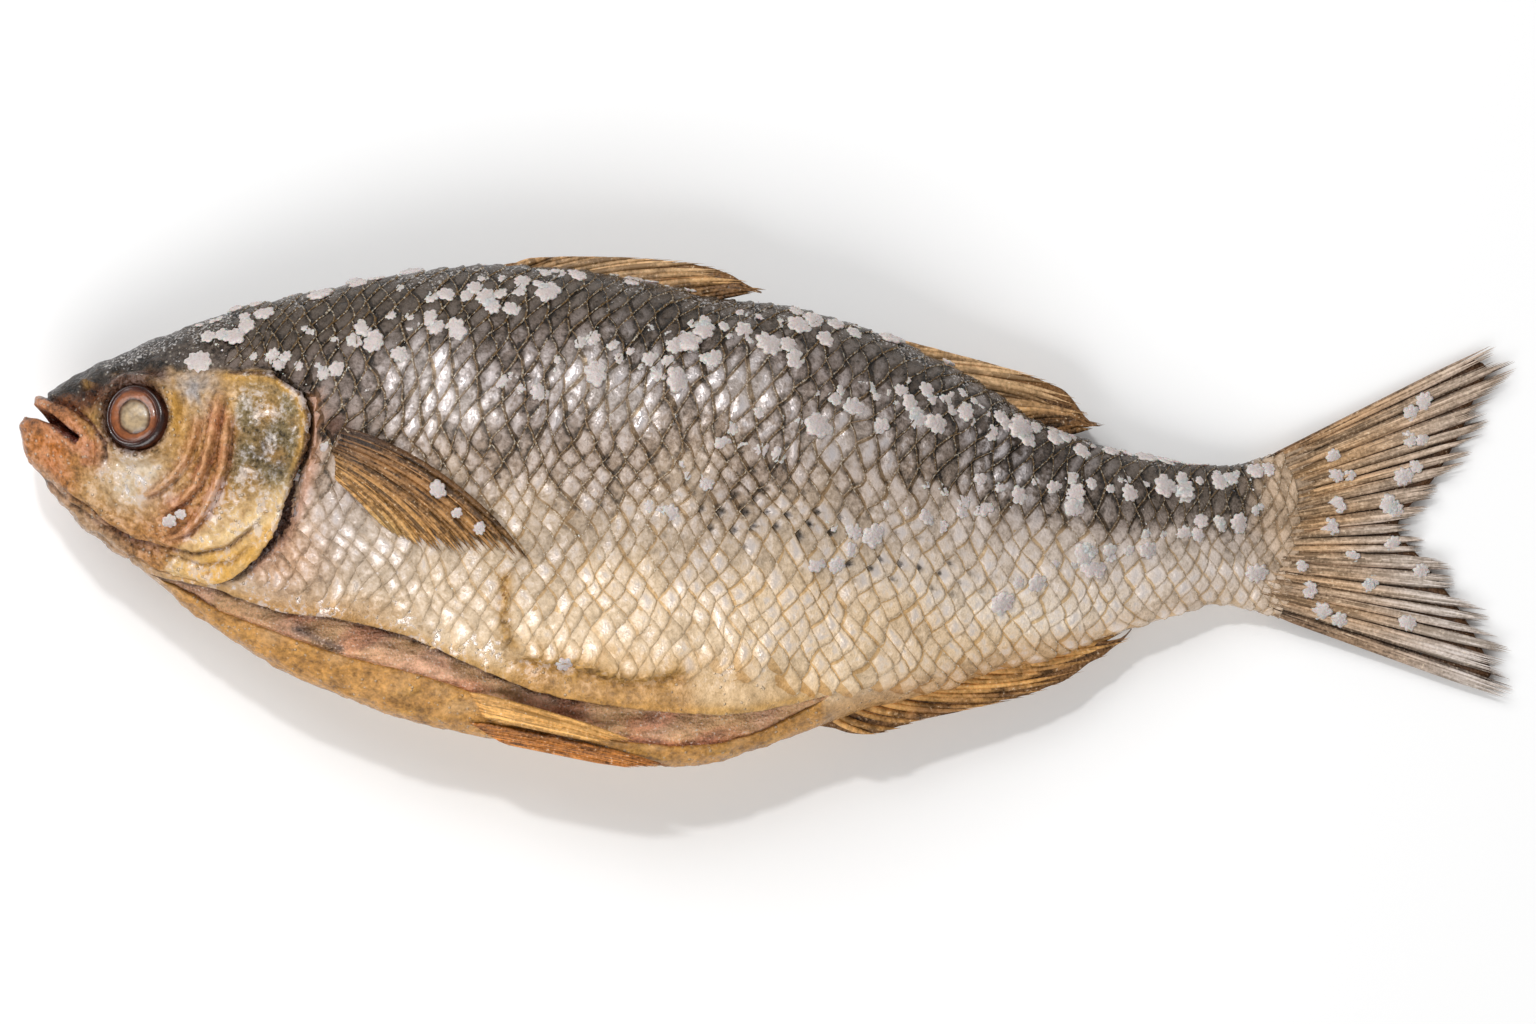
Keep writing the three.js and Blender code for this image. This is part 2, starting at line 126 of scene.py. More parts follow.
CHIN_FOLD = [(-134, -1.8), (-128, -5), (-121, -8), (-113.5, -10.4), (-107, -9.4), (-101.5, -4.6)]
CHEEK_RIDGES = [
    [(-113.6, 20.6), (-114.7, 15.4), (-116.6, 10.6), (-119.2, 7.2), (-122.7, 4.5), (-126.2, 3.2)],
    [(-108.8, 25.4), (-110.1, 20.6), (-111, 15.9), (-112.3, 10.6), (-114, 6.3), (-117.1, 2.8), (-121.9, 0.2)],
    [
        (-107.9, 21.9), (-108.2, 15.4), (-108.8, 9.8), (-110.6, 4.5), (-113.2, -0.2), (-116.6, -3.7),
        (-121.9, -5.4),
    ],
]
LATERAL_LINE = [
    (-100, 12), (-60, 14), (-22.7, 14.7), (-5.7, 13.5), (12.3, 10.3), (27.4, 5.5), (56.4, -1.7),
    (79.5, -3.7), (110, -4.2),
]
BACK_CREASE = [(-64, 32.2), (-40, 33.2), (-14, 32.4), (8, 27.5)]
BELLY_FOLD = [
    (-52, -27.6), (-49.4, -28.7), (-42.2, -29.9), (-34.4, -31.4), (-29.5, -33), (-23.7, -32.8),
    (-17.9, -31.6), (-13.5, -30.4),
]
BROWN_STREAK = [(-32, -44.6), (-18, -46.2), (-6, -45.2)]
GREY_STREAK = [(-96, -22.4), (-89, -25.4), (-84, -27.6)]
FLANK_FOLD = [(-52.8, -9.6), (-52.4, -13), (-52.8, -18.5), (-52.2, -24.8), (-49.2, -28.2)]


# ---- Curves, noise and the body's surface ----


def mix(a, b, share):
    return a + (b - a) * share


def smooth(low, high, value):
    """0 below low, 1 above high, and an S-shaped rise between them."""
    t = np.clip((value - low) / (high - low), 0, 1)
    return t * t * (3 - 2 * t)


def bell(distance, width):
    return np.exp(-((distance / width) ** 2))


def patch(x, y, place, size, wide=1.0, tall=1.0):
    """A bell about a place in side view, longer where wide is below 1 and taller where tall is."""
    return bell(np.hypot((x - place[0]) * wide, (y - place[1]) * tall), size)


def curve(points, x):
    """A smooth line through points of (x, value): a cubic in each span, whose slope at a point is that
    between the point's two neighbours, and level beyond both ends."""
    px, py = np.array(points, float).T
    before = np.maximum(np.arange(len(px)) - 1, 0)
    after = np.minimum(np.arange(len(px)) + 1, len(px) - 1)
    slope = (py[after] - py[before]) / (px[after] - px[before])
    x = np.clip(x, px[0], px[-1])
    i = np.clip(np.searchsorted(px, x, side="right") - 1, 0, len(px) - 2)
    span = px[i + 1] - px[i]
    t = (x - px[i]) / span
    bend = (1 - t) * slope[i] - t * slope[i + 1]
    return mix(py[i], py[i + 1], t * t * (3 - 2 * t)) + span * t * (1 - t) * bend


def ripple(points, size, seed, waves=16):
    """Smooth noise of about -1 to 1: a sum of plane waves near the given length, in seeded directions."""
    draw = np.random.default_rng(seed)
    ways = draw.normal(size=(waves, points.shape[-1]))
    ways /= np.linalg.norm(ways, axis=1, keepdims=True) * size * draw.uniform(0.7, 1.5, (waves, 1))
    phases = draw.uniform(0, 2 * np.pi, waves)
    return np.sin(2 * np.pi * points @ ways.T + phases).sum(axis=-1) / math.sqrt(waves)


def line_distance(x, y, path):
    """Distance in side view from (x, y) to a chain of straight stretches, the share of the chain passed at
    the nearest point, and which side of it the spot lies on: 1 on its left, -1 on its right."""
    ends = np.array(path, float)
    passed = np.r_[0, np.cumsum(np.hypot(*np.diff(ends, axis=0).T))]
    nearest = np.full(np.shape(x), np.inf)
    share = np.zeros(np.shape(x))
    side = np.ones(np.shape(x))
    for (ax, ay), (bx, by), start, stop in zip(ends, ends[1:], passed, passed[1:]):
        dx, dy = bx - ax, by - ay
        t = np.clip(((x - ax) * dx + (y - ay) * dy) / (dx * dx + dy * dy), 0, 1)
        gap = np.hypot(x - ax - t * dx, y - ay - t * dy)
        closer = gap < nearest
        nearest = np.where(closer, gap, nearest)
        share = np.where(closer, mix(start, stop, t) / passed[-1], share)
        side = np.where(closer, np.sign(dx * (y - ay) - dy * (x - ax)), side)
    return nearest, share, side


def shifted(path, along, up):
    """The same path a little further along and up."""
    return [(x + along, y + up) for x, y in path]


def ridge(x, y, path, width, fade=0.15):
    """A bell across the path, fading out at both of its ends."""
    gap, share, _ = line_distance(x, y, path)
    return bell(gap, width) * smooth(0, fade, share + 1e-3) * smooth(0, fade, 1.001 - share)


def openness(x):
    """0 where the belly is shut and 1 where the cut is fully open."""
    return smooth(0, FULL_GAPE, curve(UPPER_EDGE, x) - curve(LOWER_EDGE, x))


def angle_at(x, y):
    """The angle round the section at x where the upper flank has the height y in side view."""
    back, keel = curve(BACK, x), curve(KEEL, x)
    half = np.maximum((back - keel) / 2, 1e-6)
    return np.arccos(np.clip((y - (back + keel) / 2) / half, -0.97, 0.97))


def skin(x, angle, drop=0.0):
    """The bare skin: y follows a cosine between back and keel, and the thickness a sine to the power
    SQUARENESS, wider towards the back. drop flattens it, and the underside stops at the table."""
    back, keel = curve(BACK, x), curve(KEEL, x)
    across = np.sin(angle)
    out = np.sign(across) * np.abs(across) ** SQUARENESS * (1 + TOP_HEAVY * np.cos(angle))
    y = (back + keel) / 2 + (back - keel) / 2 * np.cos(angle)
    z = curve(MIDDLE, x) + curve(HALF_WIDTH, x) * out * (1 - drop)
    return np.stack(np.broadcast_arrays(x, y, np.maximum(z, 0)), axis=-1)


def skin_normal(x, angle, drop=0.0):
    """The outward direction of the skin, from its slopes along and round the body."""
    along = skin(x + 0.2, angle, drop) - skin(x - 0.2, angle, drop)
    across = skin(x, angle + 0.012, drop) - skin(x, angle - 0.012, drop)
    normal = np.cross(across, along)
    return normal / np.maximum(np.linalg.norm(normal, axis=-1, keepdims=True), 1e-9)


def raised(x, angle, lift, drop=0.0):
    """The skin moved outwards by lift, and never below the table."""
    spots = skin(x, angle, drop) + skin_normal(x, angle, drop) * np.asarray(lift)[..., None]
    spots[..., 2] = np.maximum(spots[..., 2], LOWEST_SKIN)
    return spots


def cover_edge(angle):
    """x of the head's rear edge at each angle: the gill cover's edge on the flanks, the nape above it and
    the throat below it."""
    x, y = np.array(GILL_COVER[1:], float).T
    edge = list(zip(angle_at(x, y), x))
    line = [(0, -99.2), (edge[0][0] - 0.1, -99.1), *edge, (math.pi, -129)]
    return curve(line, np.abs(angle))


def belly_angles(x):
    """The angles of the cut's upper and lower edge, which are one where it is shut."""
    upper = angle_at(x, curve(UPPER_EDGE, x))
    lower = np.maximum(angle_at(x, curve(LOWER_EDGE, x)), upper)
    return upper, np.where(openness(x) > 0, lower, upper)


def eye_distance(x, y):
    """Distance from the eye's centre, less where it lies above or below, as the eye is a little tall."""
    return np.hypot(x - EYE[0], (y - EYE[1]) / EYE_TALLNESS)


def depth_share(x, y):
    """0 at the back's edge and 1 at the keel's."""
    back, keel = curve(BACK, x), curve(KEEL, x)
    return (back - y) / np.maximum(back - keel, 1e-6)


def saltiness(x, below):
    """How thickly salt lies at x and at a share of the depth below the back, from 0 to 1."""
    along_back = bell(below - 0.13, 0.13) * smooth(-136, -118, x) * smooth(120, 20, x)
    mid_flank = 0.42 * bell(below - 0.42, 0.2) * bell(x - 2, 55)
    near_tail = 0.26 * bell(below - 0.5, 0.3) * bell(x - 62, 34)
    return np.minimum(along_back + mid_flank + near_tail, 1)


# ---- Relief of the head and the trunk: millimetres outwards ----


# path, height, width and fade at the ends: a ridge where the height is above 0, and a crease below it
HEAD_LINES = [
    (UPPER_LIP, 0.85, 1.0, 0.06), (LOWER_LIP, 0.8, 1.1, 0.05), (LIP_CREASE, -1.0, 0.45, 0.08),
    (LIP_FOLD, 0.7, 0.7, 0.15), (LIP_GROOVE, -0.6, 0.4, 0.15), (JAW_CREASE, -0.95, 0.45, 0.15),
    (CHEEK_FOLD, -0.8, 0.5, 0.15), (CHIN_FOLD, -0.7, 0.45, 0.15),
    (shifted(CHEEK_FOLD, 0.4, 1.4), 0.6, 0.8, 0.15),
    *((path, 1.25, 0.7, 0.15) for path in CHEEK_RIDGES),
    *((shifted(path, 1.1, -0.3), -1.0, 0.4, 0.15) for path in CHEEK_RIDGES),
]


def head_relief(x, y, spots):
    """Ridges and creases along the head's lines, the eye's socket and the nostril, wrinkles that run along
    the cheek's folds and the throat's, and a fine grain. The snout's pole stays bare."""
    eye = eye_distance(x, y)
    relief = 1.1 * bell(eye - 7.5, 1.2) - 0.5 * bell(eye - 9.6, 0.8) - 3.4 * (1 - smooth(5.7, 6.6, eye))
    gap, share, _ = line_distance(x, y, MOUTH)
    half = mix(1.35, 0.6, smooth(0.2, 1, share)) * (share < 0.999)
    relief -= 5.5 * np.sqrt(np.clip(1 - (gap / np.maximum(half, 1e-3)) ** 2, 0, 1))
    for path, height, width, fade in HEAD_LINES:
        relief += height * ridge(x, y, path, width, fade)
    bend = 0.5 * ripple(spots, 6, 6)

    def wrinkles(gap, side, pitch):
        return np.sin(2 * np.pi * (gap * side / pitch + bend))

    gap, share, side = line_distance(x, y, CHEEK_RIDGES[1])
    window = bell(gap, 5.5) * smooth(0, 0.25, share + 0.02) * smooth(0, 0.1, 1.0 - share)
    relief += 0.32 * wrinkles(gap, side, 1.7) * window
    gap, share, side = line_distance(x, y, JAW_CREASE)
    relief += 0.22 * wrinkles(gap, side, 1.9) * bell(gap - 2, 4.5) * smooth(0.05, 0.4, share)
    nostril = np.hypot((x - NOSTRIL[0]) / 1.3, y - NOSTRIL[1])
    relief += 0.45 * bell(nostril - 1.2, 0.45) - 0.9 * bell(nostril, 0.6)
    cover, _, _ = line_distance(x, y, GILL_COVER)
    plain = 1 - nape(x, y)
    relief += (1.5 * np.exp(-cover / 6) * smooth(-118, -104, x) + 0.4 * bell(cover - 0.7, 0.6)) * plain
    relief += 0.2 * ripple(spots, 6, 1) + 0.07 * ripple(spots, 2.4, 2) + 0.03 * ripple(spots, 1.2, 3)
    relief = relief * plain + trunk_relief(x, y, spots, 1.0) * (1 - plain)
    return relief * (1 - bell(x - SNOUT_X + 0.2, 0.5))


def trunk_relief(x, y, spots, upper):
    """Folds and creases of the flank, and lumps where it has no scales; upper is 1 on the shown side and 0
    on the underside."""
    relief = 0.25 * ripple(spots, 26, 11) + 0.1 * ripple(spots, 8, 12)
    relief -= 0.35 * ridge(x, y, LATERAL_LINE, 0.6) + 0.35 * ridge(x, y, BACK_CREASE, 0.5)
    relief += 0.8 * ridge(x, y, SHOULDER_RIM, 0.9)
    relief += 1.5 * patch(x, y, FIN_KNOB, 2.4) + 0.8 * ridge(x, y, [(-86.4, 18), (-85.6, 6)], 2.0)
    gap, share, side = line_distance(x, y, BELLY_FOLD)
    ends = smooth(0, 0.12, share + 1e-3) * smooth(0, 0.2, 1.001 - share)
    fold = np.where(side > 0, 1.2 * np.exp(-gap / 5), -1.1 * np.exp(-gap / 2.0)) * ends
    crease = 0.8 * ridge(x, y, FLANK_FOLD, 0.55)
    bare_skin = np.clip(smooth(-14, -26, y) * smooth(30, -10, x) + smooth(-60, -84, x + 0.9 * y), 0, 1)
    lumps = bare_skin * (0.14 * ripple(spots, 2.8, 14) + 0.07 * ripple(spots, 1.4, 15))
    return relief + upper * (fold - crease) + lumps


def trunk_surface(x, angle, lift=0.0, drop=0.0, on_nape=False):
    """The flank with its relief, sunk under the head so that the gill cover stands clear of it. What lies on
    the nape isn't sunk."""
    bare = skin(x, angle, drop)
    upper = (np.sin(angle) > 0).astype(float)
    relief = trunk_relief(bare[..., 0], bare[..., 1], bare, upper)
    edge = cover_edge(np.where(np.abs(angle) > math.pi, 2 * math.pi - np.abs(angle), angle))
    behind = np.where(np.abs(np.cos(angle)) < 0.62, 1.0 + 2.2 * bell(bare[..., 1] + 1, 6.5), 0.2)
    sunk = 1 - smooth(edge + behind - 0.9, edge + behind + 0.35, x)
    sunk = sunk * smooth(-6, -1, bare[..., 1] - curve(LOWER_EDGE, x))
    if on_nape:
        sunk = sunk * (1 - nape(bare[..., 0], bare[..., 1]))
    return raised(x, angle, relief + lift - 3.2 * sunk, drop), sunk


# ---- Meshes ----


def grid_faces(rows, columns, round_rows=False, round_columns=False, start=0):
    """Quads over a grid of points that runs row by row, closed round where that is asked for."""
    i = np.arange(rows if round_rows else rows - 1)
    j = np.arange(columns if round_columns else columns - 1)
    i, j = (a.ravel() for a in np.meshgrid(i, j, indexing="ij"))
    down, right = (i + 1) % rows, (j + 1) % columns
    quads = [i * columns + j, i * columns + right, down * columns + right, down * columns + j]
    return start + np.stack(quads, axis=-1)


def repeated(faces, count, points):
    """The faces of one small shape, repeated for a count of them with so many points each."""
    return (faces[None] + (np.arange(count) * points)[:, None, None]).reshape(-1, faces.shape[1])


def make_piece(name, spots, faces, material, paint=None, flip=False, merge=True, **stored):
    """A mesh object from points in millimetres and faces, with its paint and other numbers stored at its
    points. It rides on the one body."""
    spots = np.asarray(spots, float).reshape(-1, 3) * MM
    faces = np.asarray(faces)[:, ::-1] if flip else np.asarray(faces)
    mesh = bpy.data.meshes.new(name)
    mesh.vertices.add(len(spots))
    mesh.vertices.foreach_set("co", spots.ravel())
    mesh.loops.add(faces.size)
    mesh.loops.foreach_set("vertex_index", faces.ravel().astype(np.int32))
    mesh.polygons.add(len(faces))
    mesh.polygons.foreach_set("loop_start", np.arange(len(faces), dtype=np.int32) * faces.shape[1])
    mesh.update(calc_edges=True)
    if paint is not None:
        colours = np.ones((len(spots), 4), np.float32)
        colours[:, :3] = np.asarray(paint).reshape(-1, 3)
        mesh.attributes.new("paint", "FLOAT_COLOR", "POINT").data.foreach_set("color", colours.ravel())
    for label, values in stored.items():
        values = np.asarray(values, np.float32).ravel()
        mesh.attributes.new(label, "FLOAT", "POINT").data.foreach_set("value", values)
    if merge:
        shape = bmesh.new()
        shape.from_mesh(mesh)
        bmesh.ops.remove_doubles(shape, verts=shape.verts, dist=2e-6)
        bmesh.ops.dissolve_degenerate(shape, dist=1e-7, edges=shape.edges)
        shape.to_mesh(mesh)
        shape.free()
    mesh.shade_smooth()
    mesh.materials.append(material)
    piece = bpy.data.objects.new(name, mesh)
    bpy.context.scene.collection.objects.link(piece)
    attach(piece, "root")
    return piece


# ---- Colours ----


def tone(red, green, blue):
    """A colour as seen on a screen, 0 to 255, turned into the amounts of light that shaders use."""
    value = np.array([red, green, blue], float) / 255
    return np.where(value <= 0.04045, value / 12.92, ((value + 0.055) / 1.055) ** 2.4)


BACK_DARK = tone(70, 61, 53)
SILVER = tone(206, 198, 196)
GOLD = tone(205, 156, 76)
FLAP_TAN = tone(184, 134, 70)
BREAST_PINK = tone(186, 146, 114)
RIM_PINK = tone(196, 156, 136)
SALT_GREY = tone(198, 193, 190)
# the pale lilac of the painted highlight laid on silvery skin
PAINTED_SILVER_HIGHLIGHT = tone(226, 219, 220)
RIM_GILT = tone(176, 134, 74)
RIM_GLINT = tone(244, 232, 210)
BEAD_PALE_AND_SHEEN = tone(240, 226, 204)
FLESH_SALT = tone(238, 222, 208)
FIN_SALT = tone(236, 218, 188)
PAINTED_SLIT_SHADE = tone(66, 38, 28)
FLESH_PINK = tone(226, 176, 142)
FLESH_CREAM = tone(232, 184, 134)
FLESH_RED = tone(206, 134, 100)
FLESH_BROWN = tone(150, 74, 40)
FLESH_GREY = tone(82, 66, 62)
PIGMENT_GREY = tone(60, 56, 56)
CROWN_DARK = tone(46, 38, 32)
SNOUT_BROWN = tone(70, 40, 24)
LIP_TAN = tone(176, 116, 72)
JAW_ORANGE = tone(172, 102, 36)
JAW_GREY = tone(172, 148, 122)
JAW_TAN = tone(164, 110, 58)
FOLD_RED = tone(164, 98, 58)
PAINTED_FOLD_HIGHLIGHT = tone(226, 172, 126)
PAINTED_DEEP_SHADE = tone(84, 42, 22)
CHEEK_TAN = tone(180, 140, 80)
CHEEK_SILVER = tone(220, 204, 182)
COVER_OLIVE = tone(138, 120, 82)
COVER_CREAM = tone(240, 210, 158)
COVER_GOLD = tone(226, 176, 92)
MOUTH_RED = tone(92, 34, 16)
ROOT_TAN = tone(182, 158, 134)
TAIL_BROWN = tone(176, 142, 102)
TAIL_GREY = tone(206, 196, 190)
FIN_BROWN = tone(154, 112, 70)
FIN_DARK = tone(88, 60, 38)
FIN_GOLD = tone(212, 162, 98)
FIN_PALE = tone(206, 172, 132)
FIN_EDGE = tone(206, 178, 120)
NEAR_FIN = tone(240, 184, 108)
# the far belly fin: the near fin's gold, darker as painted shade
FAR_FIN_PAINTED_SHADE = tone(182, 116, 52)

# the flank's colours by the height above the lateral line, in millimetres: before the vent and behind it
FRONT_TONES = [
    (-46, tone(236, 204, 162)), (-38, tone(238, 214, 182)), (-30, tone(224, 201, 172)),
    (-22, tone(198, 179, 158)), (-12, tone(179, 160, 140)), (-3, tone(138, 120, 104)),
    (1, tone(132, 115, 101)), (6, tone(124, 110, 100)), (12, tone(112, 100, 94)), (18, tone(94, 82, 75)),
    (24, tone(70, 60, 52)), (30, tone(56, 46, 38)), (38, tone(48, 39, 31)),
]
REAR_TONES = [
    (-26, tone(236, 208, 172)), (-20, tone(242, 226, 206)), (-12, tone(226, 211, 197)),
    (-6, tone(204, 191, 181)), (-2, tone(176, 163, 154)), (1, tone(118, 106, 98)), (5, tone(90, 80, 73)),
    (12, tone(68, 58, 52)), (18, tone(60, 51, 44)), (24, tone(48, 40, 33)),
]
EYE_RINGS = [  # the share of the eye's radius, and its colour there
    (0.0, tone(182, 158, 126)), (0.25, tone(176, 152, 118)), (0.4, tone(150, 130, 104)),
    (0.45, tone(120, 92, 66)), (0.49, tone(64, 36, 20)), (0.55, tone(146, 84, 46)), (0.68, tone(130, 72, 38)),
    (0.77, tone(72, 32, 18)), (0.88, tone(34, 16, 12)), (0.95, tone(60, 30, 20)), (1.0, tone(112, 62, 40)),
]
# in side view, where the flank is most silvery and carries a painted highlight
SILVER_AND_SHINE_SPOTS = [(-68, 29), (-36, 28), (-28, 22), (-5, 26), (14, 14), (-62, 21)]


def dab(paint, colour, weight):
    """Lays a colour over the paint with the given weight at each spot."""
    weight = np.clip(weight, 0, 1)[..., None]
    return paint * (1 - weight) + colour * weight


def layered(paint, layers):
    """Lays (colour, weight) pairs over the paint, one after the other."""
    for colour, weight in layers:
        paint = dab(paint, colour, weight)
    return paint


def ramp(value, stops):
    """A colour for each value, mixed in straight steps between the (value, colour) stops."""
    places, colours = zip(*stops)
    return np.stack([np.interp(value, places, channel) for channel in np.array(colours).T], axis=-1)


def nape(x, y):
    """1 on the scaly skin above the gill covers, which runs on from the back over the head, and 0 below
    it."""
    return smooth(27.6, 30.2, y - 0.04 * (x + 100)) * smooth(-130, -108, x + 0.6 * (y - 34))


def frostiness(x, y, spots):
    """How much fine salt clings to each spot of the shown side, from 0 to 1."""
    below = depth_share(x, y)
    crest = bell(below, 0.05) * smooth(-140, -128, x) * smooth(110, 96, x)
    patches = 0.5 + 0.7 * ripple(spots, 14, 61) + 0.5 * ripple(spots, 5, 62)
    return np.clip(crest * (0.6 + 0.6 * patches) + 0.3 * saltiness(x, below) * patches, 0, 1)


def head_paint(x, y, spots):
    """Colours of the head in zones about its lines, with painted highlights on the cheek ridges' crests and
    painted shade in its creases and under the gill cover's edge; also how silvery each spot is, and how
    frosted with salt.
    """
    rough = 1 + 0.3 * ripple(spots, 5, 21) + 0.25 * ripple(spots, 1.6, 22)
    crown = smooth(-1.8, 1.2, y - curve(CROWN_EDGE, x) + 0.8 * ripple(spots, 4, 24))
    snout = smooth(17.5, 21.5, y - 0.3 * (x + 140)) * smooth(-129, -134, x + (y - 24) * 0.4)
    low = smooth(6, -8, y - curve(JAW_TOP, x))
    chin = smooth(5.5, 1.5, y - curve(KEEL, x)) * smooth(-149, -144, x) * smooth(-120, -134, x)
    cheek = patch(x, y, (-126.5, 7), 5.2, wide=0.8) * rough
    cover = smooth(-1.2, 1.8, x - curve(COVER_FRONT, y))
    upper_cover = cover * smooth(0, 9, y + 0.5 * (x + 100)) * (0.75 + 0.5 * ripple(spots, 6, 23))
    mid_cover = cover * smooth(7, -3, y - 0.4 * (x + 103))
    lower_cover = smooth(-4.5, -8, y - 0.55 * np.maximum(x + 107, 0)) * smooth(-124, -112, x)
    paint = layered(np.broadcast_to(CHEEK_TAN, spots.shape), [
        (JAW_TAN, np.maximum(low * 0.8, smooth(-134, -142, x))),
        (JAW_ORANGE, patch(x, y, (-144, 11.6), 4.5, tall=0.7) * 0.9 * rough),
        (JAW_GREY, chin * 0.6),
        (SNOUT_BROWN, snout * 0.97),
        (JAW_ORANGE, snout * 0.22),
        (SNOUT_BROWN, ridge(x, y, BROW, 3.2) * 0.97),
        (GOLD, patch(x, y, (-136.2, 26.2), 1.2, tall=1.3) * 0.6),
        (LIP_TAN, ridge(x, y, UPPER_LIP, 1.3, 0.05) + 0.8 * ridge(x, y, LOWER_LIP, 1.5, 0.05)),
        (FOLD_RED, patch(x, y, (-134.2, 12), 2.6, 1.1, 0.7) * 0.8 * rough),
        (LIP_TAN, ridge(x, y, [(-134.6, 15.3), (-133.7, 12.6), (-134.3, 9.3)], 0.8) * 0.8),
        # painted shade in the lip's crease
        (PAINTED_DEEP_SHADE, ridge(x, y, LIP_CREASE, 0.6, 0.05) * 0.95),
        (CHEEK_SILVER, cheek * 0.95),
        (COVER_OLIVE, upper_cover),
        (CROWN_DARK, patch(x, y, (-100, 12), 5.5, 0.9, 0.7) * 0.55 * rough),
        (COVER_CREAM, mid_cover * 0.9 * rough),
        (SILVER * 0.5, patch(x, y, (-114.5, 25), 4.6, tall=0.9) * 0.8 * rough),
        (COVER_GOLD, lower_cover * 0.75 * rough),
    ])
    # along each cheek ridge: its red, a painted highlight on its crest and painted shade in the creases
    # beside it
    for path, weight in zip(CHEEK_RIDGES, (0.4, 0.7, 0.65)):
        behind, before = shifted(path, 1.2, -0.36), shifted(path, -1.1, 0.33)
        paint = layered(paint, [
            (FOLD_RED, ridge(x, y, path, 1.8) * weight * rough),
            (PAINTED_FOLD_HIGHLIGHT, ridge(x, y, path, 0.75) * weight),
            (PAINTED_DEEP_SHADE, (ridge(x, y, behind, 0.45) + 0.6 * ridge(x, y, before, 0.4)) * weight * 0.9),
        ])
    creases = 0.6 * ridge(x, y, JAW_CREASE, 0.45) + 0.7 * ridge(x, y, CHEEK_FOLD, 0.5)
    rim, _, _ = line_distance(x, y, GILL_COVER)
    gap, share, _ = line_distance(x, y, MOUTH)
    paint = layered(paint, [
        (FOLD_RED, patch(x, y, (-119, -0.5), 3.6, wide=0.6) * 0.45 * rough),
        # painted shade in the jaw, cheek and chin creases
        (PAINTED_DEEP_SHADE, creases + 0.5 * ridge(x, y, CHIN_FOLD, 0.5)),
        (GOLD, ridge(x, y, GILT_STREAK, 1.7) * 0.95),
        (SNOUT_BROWN, bell(eye_distance(x, y) - EYE_REACH, 1.3) * 0.95),
        (COVER_GOLD * 0.8, bell(rim - 0.9, 0.8) * smooth(5, 14, y) * 0.8),
        # painted shade under the gill cover's free edge
        (PAINTED_DEEP_SHADE, bell(rim, 0.55) * smooth(-2, 10, y) * 0.8),
        (CROWN_DARK, crown),
        (MOUTH_RED, (1 - smooth(0.6, 1.5, gap)) * (share < 0.999)),
    ])
    silver = np.clip(0.8 * cheek + 0.5 * cover + 0.12, 0, 1) * (1 - snout) * (1 - 0.6 * crown)
    frost = (frostiness(x, y, spots) + 0.35 * crown) * smooth(24, 28, y) * 1.15
    on_nape = nape(x, y)
    back, shine, _ = trunk_paint(x, y, spots, np.ones_like(x))
    return dab(paint, back, on_nape), mix(silver, shine, on_nape), frost


